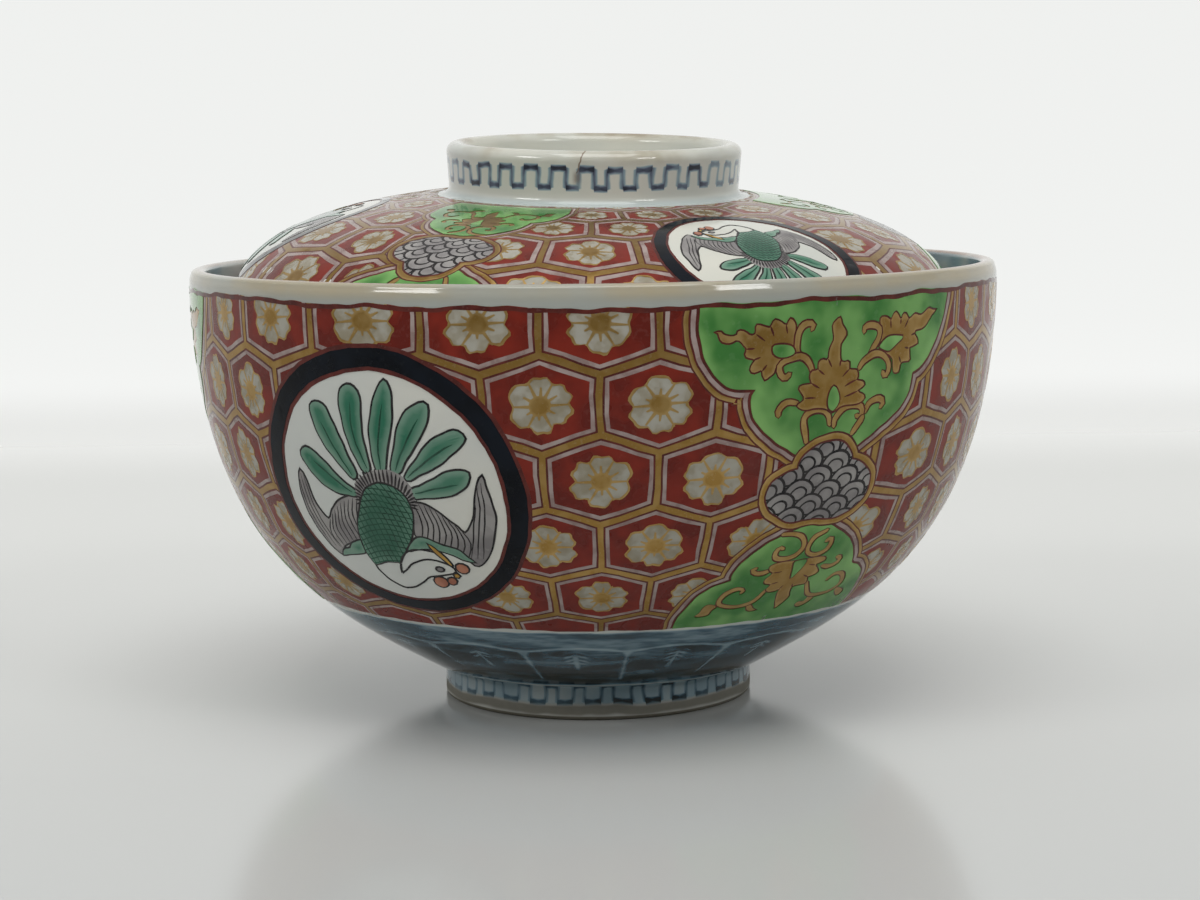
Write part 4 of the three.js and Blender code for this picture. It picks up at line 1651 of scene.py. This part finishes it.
@dataclass(frozen=True)
class BowlGlaze(Glaze):
    """The bowl's glaze: a blue band of lappets under the enamel, and a key pattern on the foot.

    Places on the wall are degrees of the flat drawing; heights on the foot are millimetres.
    """

    lappets: int = 16
    phase: float = -8.28
    lappet_wide: float = 6.9
    band_top: float = 54.5
    scallops: float = 62.3
    plume: tuple[float, float] = (64.8, 75.0)
    band_end: float = 90.0
    fret_count: int = 34
    fret_phase: float = -0.16
    fret_heights: tuple[float, float] = (2.15, 5.05)
    fret_pitch: float = 4.0
    fret_share: float = 0.42
    fret_width: float = 0.1

    def marks(self, b: Brush, form: Bowl) -> Marks:
        """What is painted on the bowl, and where it is stained.

        Args:
            b: The brush; along is inwards from the rim, below 0 down the outer wall.
            form: The bowl.

        Returns:
            The masks.
        """
        w = b.w
        stray = w.less(w.noise(b.spot, 160.0), 0.5)
        down = w.slope(stray, 1.2, w.times(b.along, -1.0))
        dark = w.slope(self.light(b, form, down, stray), -0.55, 1.0)
        band = b.both(self.wash(b, form, down), dark)
        cobalt = b.most(band, self.foot(b, form, down, stray))
        patches = w.ramp(w.noise(b.spot, 48.0, 3.0), 0.4, 0.62, 0.14, 0.4)
        cobalt = w.math("ADD", cobalt, b.both(patches, b.window(b.along, 1.9, 11.5, 0.9)), clamp=True)
        stains = w.noise(b.spot, 50.0, 4.0, 0.6)
        rust = b.both(b.close(b.along, 1.6, 0.35, 0.95), w.ramp(stains, 0.38, 0.6, 0.3, 0.9))
        warm = b.both(b.window(b.along, -1.3, 1.6, 0.9), w.ramp(stains, 0.32, 0.62, 0.25, 1.0))
        low = form.foot_depth(self.fret_heights[0])
        # painted shade: the rim band, from 3 degrees down the outside to 3 mm down the inside, is painted in
        # the grey shade tone
        dim = b.window(b.along, -form.depth(3.0), 3.0, 0.4)
        clay = form.foot_depth(0.3)
        bare = b.window(w.times(b.along, -1.0), clay, clay + 3.3, 0.12)
        bare = b.most(bare, w.times(b.window(down, low, clay, 0.4), 0.88))
        return Marks(cobalt, rust, warm, dim, bare)

    def wash(self, b: Brush, form: Bowl, down: Any) -> Any:
        """The blue laid over the whole band, in streaks, paler along its upper edge.

        Args:
            b: The brush.
            form: The bowl.
            down: Millimetres down the outer wall.

        Returns:
            The mask.
        """
        w = b.w
        top, line, deep, end = (form.depth(v) for v in (self.band_top, self.scallops, 78.0, self.band_end))
        wash = w.ramp(down, top + 0.7, top + 1.3, 0.1, 0.68)
        wash = w.plus(wash, w.ramp(down, line - 0.4, line + 0.5, 0.0, 0.2))
        wash = w.plus(wash, w.ramp(down, line + 2.0, deep, 0.0, 0.12))
        flat = w.out("ShaderNodeVectorMath", {0: b.spot, 1: (1.0, 1.0, 6.0)}, operation="MULTIPLY")
        streaks = w.ramp(w.noise(flat, 120.0, 3.0, 0.6), 0.3, 0.7, 0.62, 1.28)
        ends = b.both(w.ramp(down, top - 0.4, top), w.ramp(down, end - 1.2, end + 0.4, 1.0, 0.0))
        return b.both(wash, streaks, ends)

    def light(self, b: Brush, form: Bowl, down: Any, stray: Any) -> Any:
        """The pale lines in the band: scallops, the partings between the lappets and a plume on each.

        Args:
            b: The brush.
            form: The bowl.
            down: Millimetres down the outer wall.
            stray: How far the brush strays.

        Returns:
            The mask.
        """
        w = b.w
        line, plume, tip = (form.depth(v) for v in (self.scallops, *self.plume))
        place = w.math("FRACT", w.slope(b.turn, float(self.lappets), self.phase))
        off = w.math("ABSOLUTE", w.slope(place, 2.0, -1.0))
        scallop = b.close(down, w.slope(w.times(off, off), 1.3, line), 0.0, 0.65)
        edge = w.less(1.0, off)
        gap = w.slope(edge, self.lappet_wide, w.times(stray, 0.8))
        flare = w.ramp(down, line, line + 3.0, 0.75, 0.0)
        parting = w.ramp(w.less(gap, flare), -0.1, 0.7, 1.0, 0.0)
        parting = b.both(parting, b.window(down, line + 0.6, form.depth(84.0), 0.6))
        side = w.slope(off, self.lappet_wide, w.times(stray, 0.6))
        stem = b.both(w.ramp(side, 0.0, 0.6, 1.0, 0.0), b.window(down, plume + 0.4, tip, 0.9))
        barb = w.math("PINGPONG", w.slope(side, -0.5, w.less(down, plume)), 1.3)
        barb = b.both(b.close(barb, 0.65, 0.0, 0.6), w.ramp(side, 1.0, 2.0, 1.0, 0.0),
                      b.window(down, plume, plume + 3.6, 0.6))
        return b.most(scallop, parting, stem, barb)

    def foot(self, b: Brush, form: Bowl, down: Any, stray: Any) -> Any:
        """The thin blue and the key pattern on the foot.

        Args:
            b: The brush.
            form: The bowl.
            down: Millimetres down the outer wall and foot.
            stray: How far the brush strays.

        Returns:
            The mask.
        """
        w = b.w
        low, top = (form.foot_depth(v) for v in self.fret_heights)
        height = w.out("ShaderNodeMapRange", {0: down, 1: low, 2: top}, clamp=False)
        waver = w.slope(stray, 0.4, self.fret_phase)
        aspect = self.fret_pitch / (low - top)
        fret = b.fret(height, self.fret_count, aspect, self.fret_share, self.fret_width, waver)
        fret = b.both(fret, w.ramp(w.noise(b.spot, 130.0), 0.3, 0.7, 0.62, 1.05))
        clouds = w.ramp(w.noise(b.spot, 90.0), 0.3, 0.7, 0.2, 0.36)
        return b.most(b.both(b.window(down, form.depth(90.5), low, 0.3), clouds), fret)


@dataclass(frozen=True)
class LidGlaze(Glaze):
    """The lid's glaze: a key pattern on the ring, a bluish pool at its root and a stained crack."""

    white: Colour = (212, 211, 199)
    cool: Colour = (196, 199, 192)
    blue: Colour = (82, 90, 110)
    dark: Colour = (28, 33, 48)
    rust: Colour = (112, 88, 68)
    fret_count: int = 33
    fret_band: tuple[float, float] = (2.8, 6.1)
    fret_pitch: float = 3.95
    fret_share: float = 0.53
    fret_width: float = 0.078
    crack_foot: tuple[float, float] = (0.4822, 5.0)
    crack_lean: float = 0.0021

    def marks(self, b: Brush, form: Lid) -> Marks:
        """What is painted on the lid, and where it is stained.

        Args:
            b: The brush; along is up from the root of the ring, below 0 down the dome.
            form: The lid.

        Returns:
            The masks.
        """
        w = b.w
        stray = w.less(w.noise(b.spot, 180.0), 0.5)
        low, high = self.fret_band
        height = w.out("ShaderNodeMapRange", {0: b.along, 1: low, 2: high}, clamp=False)
        height, waver = w.slope(stray, 0.34, height), w.times(stray, 0.35)
        aspect = self.fret_pitch / (high - low)
        fret = b.fret(height, self.fret_count, aspect, self.fret_share, self.fret_width, waver)
        fret = b.both(fret, w.ramp(w.noise(b.spot, 190.0, 3.0), 0.3, 0.7, 0.5, 1.25))
        pool = b.both(w.ramp(b.along, -3.0, -0.4), w.ramp(b.along, 0.8, 2.4, 0.16, 0.0))
        stains = w.noise(b.spot, 60.0, 4.0, 0.65)
        rust = b.both(b.close(b.along, 8.9, 0.4, 1.6), w.ramp(stains, 0.5, 0.72, 0.05, 0.55))
        warm = b.both(b.close(b.along, 8.4, 0.8, 3.0), w.ramp(stains, 0.4, 0.66, 0.0, 0.8))
        # painted shade: the whole ring, from just above its root, is mixed 12% toward the grey shade tone
        dim = w.ramp(b.along, 0.0, 1.0, 0.0, 0.12)
        return Marks(b.most(fret, pool), b.most(rust, self.crack(b)), warm, dim)

    def crack(self, b: Brush) -> Any:
        """A jagged brown hairline from the ring's lip down to the key pattern, with a stain at its foot."""
        w = b.w
        turn, foot = self.crack_foot
        rise = w.less(b.along, foot)
        jag = w.times(w.less(w.noise(b.spot, 700.0, 3.0), 0.5), 0.006)
        line = w.plus(w.slope(rise, self.crack_lean, turn), jag)
        hair = b.both(b.close(b.turn, line, 0.0003, 0.0012), b.window(rise, 0.0, 5.2, 0.4))
        near = b.both(b.close(b.turn, turn, 0.001, 0.006), b.close(b.along, foot - 0.5, 0.2, 1.3))
        return b.most(w.times(hair, 0.85), w.times(near, 0.6))


# The whole object


@dataclass
class Decor:
    """The enamels on one form: the drawings that repeat round it, side by side, and the finished films."""

    form: TurnedForm
    boards: tuple[Board, ...]

    def films(self, tree: FilmTree, materials: dict[Enamel, bpy.types.Material]) -> list[bpy.types.Object]:
        """Wraps the drawings round the form.

        Args:
            tree: The film tree.
            materials: The enamels' materials.

        Returns:
            One object to each enamel.
        """
        rail = self.form.rail()
        sector = self.boards[0].sector
        flats = {key: board.flats() for key, board in {id(b): b for b in self.boards}.items()}
        made = []
        for enamel, finish in FINISHES.items():
            name = f"{self.form.name}_{enamel.value}"
            flat = Flat.joined([flats[id(board)][enamel] for board in self.boards], sector)
            width = sector * len(self.boards)
            film = tree.wrap(name, flat, self.form, rail, width, finish.height, materials[enamel])
            log.info("%s: %d faces", name, len(film.data.polygons))
            made.append(film)
        bpy.data.meshes.remove(rail.data)
        return made


def bowl_decor(form: Bowl) -> Decor:
    """The bowl's drawings: hexagons, three roundels, three cartouches and the lines that bound them.

    The roundel on the right stands further from the front than the other two.
    """
    hexagons = Lattice(
        pitch=15.0, first_x=0.7, first_y=4.15, row=10.28, half_side=3.9, apex=6.3, rows=range(0, 6),
        squash=0.9, flowerless=5,
        drifts=((47.0, 13.0, 4.5, 0.0), (56.0, 14.0, 0.0, 0.05), (-42.0, 14.0, -2.2, 0.0)),
    )
    drawn = []
    for roundel in (Spot(-30.4, 28.6), Spot(-15.4, 28.6)):
        board = Board(top=0.9, bottom=55.4, left=-88.0)
        hexagons.draw(board, ((roundel.x, roundel.y, 21.7),))
        Phoenix().draw(board, roundel, roundel)
        Cartouche().draw(board, Spot(33.0, 26.5))
        bounded(board, white=1.95, line=2.55, far=54.6, dip=0.28)
        drawn.append(board)
    front, right = drawn
    return Decor(form, (front, right, front))


def lid_decor(form: Lid) -> Decor:
    """The lid's drawing: the bowl's, turned upside down."""
    board = Board(top=0.4, bottom=63.6, left=-88.0)
    roundel, panel = Spot(30.9, 35.9, -0.92, -0.92), Spot(-28.6, 38.8, -1.1, -1.1)
    hexagons = Lattice(
        pitch=120 / 7, first_x=-0.6, first_y=36.2, row=12.3, half_side=4.8, apex=7.4, rows=range(-3, 3),
        edge=0.47, gap=0.26, blush=1.48, scale=1.15, drifts=((-55.5, 18.0, 6.6, 0.0),),
    )
    hexagons.draw(board, ((roundel.x, roundel.y, 20.0),))
    Phoenix(tail=0.8).draw(board, roundel, Spot(31.7, 38.4, -0.94, -0.94))
    Cartouche().draw(board, panel)
    bounded(board, white=62.4, line=61.9, far=1.1)
    return Decor(form, (board,))


def bounded(board: Board, white: float, line: float, far: float, dip: float = 0.0) -> None:
    """Leaves bare glaze at both ends of a drawing, with a dark red line at the rim's.

    Args:
        board: The drawing.
        white: Where the bare rim ends.
        line: Where the red line ends.
        far: Where the enamel ends.
        dip: How much lower the line runs in front.
    """
    x = np.linspace(board.left - 2, board.left + board.sector + 2, 180)
    turn = x * 2 * np.pi / board.sector
    bands = (
        (Enamel.LINE, white, line),
        (Enamel.RESERVE, white + (white - line) * 20, white),
        (Enamel.RESERVE, far, far + (far - line) * 0.2),
    )
    for enamel, near, edge in bands:
        wave = dip * np.cos(turn) + 0.12 * np.sin(3 * turn + 0.8)
        wave += 0.11 * np.sin(8 * turn + 2.1 + edge)
        wave += 0.07 * np.sin(19 * turn + edge)
        band = np.vstack([np.stack([x, wave + near], 1), np.stack([x, wave + edge], 1)[::-1]])
        board.coats.append(Coat(enamel, band + board.hand(band)))


@dataclass(frozen=True)
class Lamp:
    """A soft lamp: its place, what it points at, its width and height in metres, and its watts."""

    name: str
    place: Triple
    aim: Triple
    wide: float
    high: float
    power: float


@dataclass
class Studio:
    """The pale table, the light and the camera. Metres and degrees."""

    half_wide: float = 4.0
    bend: float = 0.5
    top: float = 0.7
    below: float = 0.00004
    far_edge: float = 0.42
    # painted shade: the table is painted darker near the camera and lighter further back, standing in for the
    # light falling off toward the front
    near: Colour = (180, 182, 181)
    table: Colour = (220, 221, 218)
    back: Colour = (232, 232, 230)
    shown: tuple[float, float, float, float] = (0.85, 0.86, 0.845, 1)
    front: float = 0.15
    room: float = 0.55
    lamps: tuple[Lamp, ...] = (
        Lamp("above", (0.02, -0.42, 1.0), (0, 0, 0.03), 0.75, 0.75, 6.5),
        Lamp("left", (-1.15, -0.81, 0.85), (0, 0, 0.04), 0.5, 0.26, 4.6),
        Lamp("right", (0.95, -1.0, 0.85), (0, 0, 0.04), 0.4, 0.26, 3.7),
    )
    eye: Triple = (0, -0.3669, 0.0805)
    tilt: float = 7.07
    roll: float = -0.76
    focal: float = 76.29
    sensor: float = 36.0
    shift: float = 0.004

    def build(self) -> None:
        """Makes the table, the lamps and the camera."""
        self.floor()
        self.lights()
        self.camera()

    def floor(self) -> None:
        """The table and the sheet behind it, in one sweep."""
        r, half = self.bend, self.half_wide
        path = [(-half, 0.0), (r, 0.0)]
        path += [(r + r * math.sin(a), r - r * math.cos(a)) for a in np.radians(np.arange(10, 91, 10))]
        path.append((2 * r, self.top))
        verts = [(x, y, z - self.below) for y, z in path for x in (-half, half)]
        faces = [(2 * i, 2 * i + 1, 2 * i + 3, 2 * i + 2) for i in range(len(path) - 1)]
        mesh = bpy.data.meshes.new("table")
        mesh.from_pydata(verts, [], faces)
        mesh.polygons.foreach_set("use_smooth", [True] * len(faces))
        material, w, shader = new_material("table")
        y = w.node("ShaderNodeSeparateXYZ", {0: w.node("ShaderNodeTexCoord").outputs["Object"]}).outputs[1]
        behind = w.ramp(y, self.far_edge - 0.2, self.far_edge + 0.06)
        ray = w.node("ShaderNodeLightPath").outputs
        seen = w.math("MAXIMUM", ray["Is Camera Ray"], ray["Is Glossy Ray"])
        seen = w.math("MAXIMUM", seen, ray["Is Transmission Ray"])
        shown = w.times(behind, seen)
        # painted shade: darker colour in front, lighter behind, for the fall of the light across the table
        plain = w.mix(w.ramp(y, -0.25, 0.25), paint(*self.near), paint(*self.table))
        plain = w.mix(behind, plain, paint(*self.back))
        w.feed(shader.inputs["Base Color"], w.mix(shown, plain, (0, 0, 0, 1)))
        w.feed(shader.inputs["Roughness"], w.ramp(behind, 0, 1, 0.15, 0.9))
        w.feed(shader.inputs["Emission Color"], w.mix(shown, (0, 0, 0, 1), self.shown))
        shader.inputs["Emission Strength"].default_value = 1.0
        mesh.materials.append(material)
        table = bpy.data.objects.new("table", mesh)
        bpy.context.scene.collection.objects.link(table)

    def lights(self) -> None:
        """A soft room, dim in front, with one wide lamp overhead and a long one at each side."""
        world = bpy.data.worlds.new("room")
        world.use_nodes = True
        w, sky = Wiring(world.node_tree), world.node_tree.nodes["Background"]
        way = w.node("ShaderNodeSeparateXYZ", {0: w.node("ShaderNodeTexCoord").outputs["Generated"]}).outputs
        w.feed(sky.inputs["Color"], (1.0, 0.995, 0.975, 1))
        w.feed(sky.inputs["Strength"], w.ramp(way[1], -0.8, 0.1, self.front, self.room))
        bpy.context.scene.world = world
        for lamp in self.lamps:
            light = bpy.data.lights.new(lamp.name, "AREA")
            light.shape, light.size, light.size_y = "RECTANGLE", lamp.wide, lamp.high
            light.energy = lamp.power
            held = bpy.data.objects.new(lamp.name, light)
            held.location = lamp.place
            held.rotation_euler = (Vector(lamp.aim) - Vector(lamp.place)).to_track_quat("-Z", "Y").to_euler()
            bpy.context.scene.collection.objects.link(held)

    def camera(self) -> None:
        """The camera at the photograph's place."""
        lens = bpy.data.cameras.new("camera")
        lens.sensor_fit, lens.sensor_width = "HORIZONTAL", self.sensor
        lens.lens, lens.shift_x = self.focal, self.shift
        held = bpy.data.objects.new("camera", lens)
        tilt = Matrix.Rotation(math.radians(90 - self.tilt), 4, "X")
        roll = Matrix.Rotation(math.radians(self.roll), 4, "Z")
        held.matrix_world = Matrix.Translation(self.eye) @ (tilt @ roll)
        bpy.context.scene.collection.objects.link(held)
        bpy.context.scene.camera = held
        bpy.context.scene.view_settings.view_transform = "Standard"


class LiddedBowl:
    """The bowl and its lid, glazed and enamelled, on their CAD bodies."""

    def __init__(self) -> None:
        """Draws what goes on the two forms."""
        self.decor = (bowl_decor(Bowl()), lid_decor(Lid()))

    def build(self) -> None:
        """Makes every piece and fixes it to its body."""
        effects, tree = Effects(), FilmTree()
        materials = {e: f.material(f"enamel_{e.value}", effects) for e, f in FINISHES.items()}
        glazes = (BowlGlaze(), LidGlaze())
        for decor, glaze in zip(self.decor, glazes):
            form = decor.form
            shell = form.shell(glaze.material(form, effects))
            bpy.context.scene.collection.objects.link(shell)
            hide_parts(form.name)
            for piece in [shell, *decor.films(tree, materials)]:
                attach(piece, form.body)
                log.info("%s rides on %s", piece.name, form.body)


def main() -> None:
    """Builds the object and its studio."""
    logging.basicConfig(level=logging.INFO, format="%(name)s: %(message)s")
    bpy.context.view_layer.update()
    LiddedBowl().build()
    Studio().build()


if __name__ == "__main__":
    main()
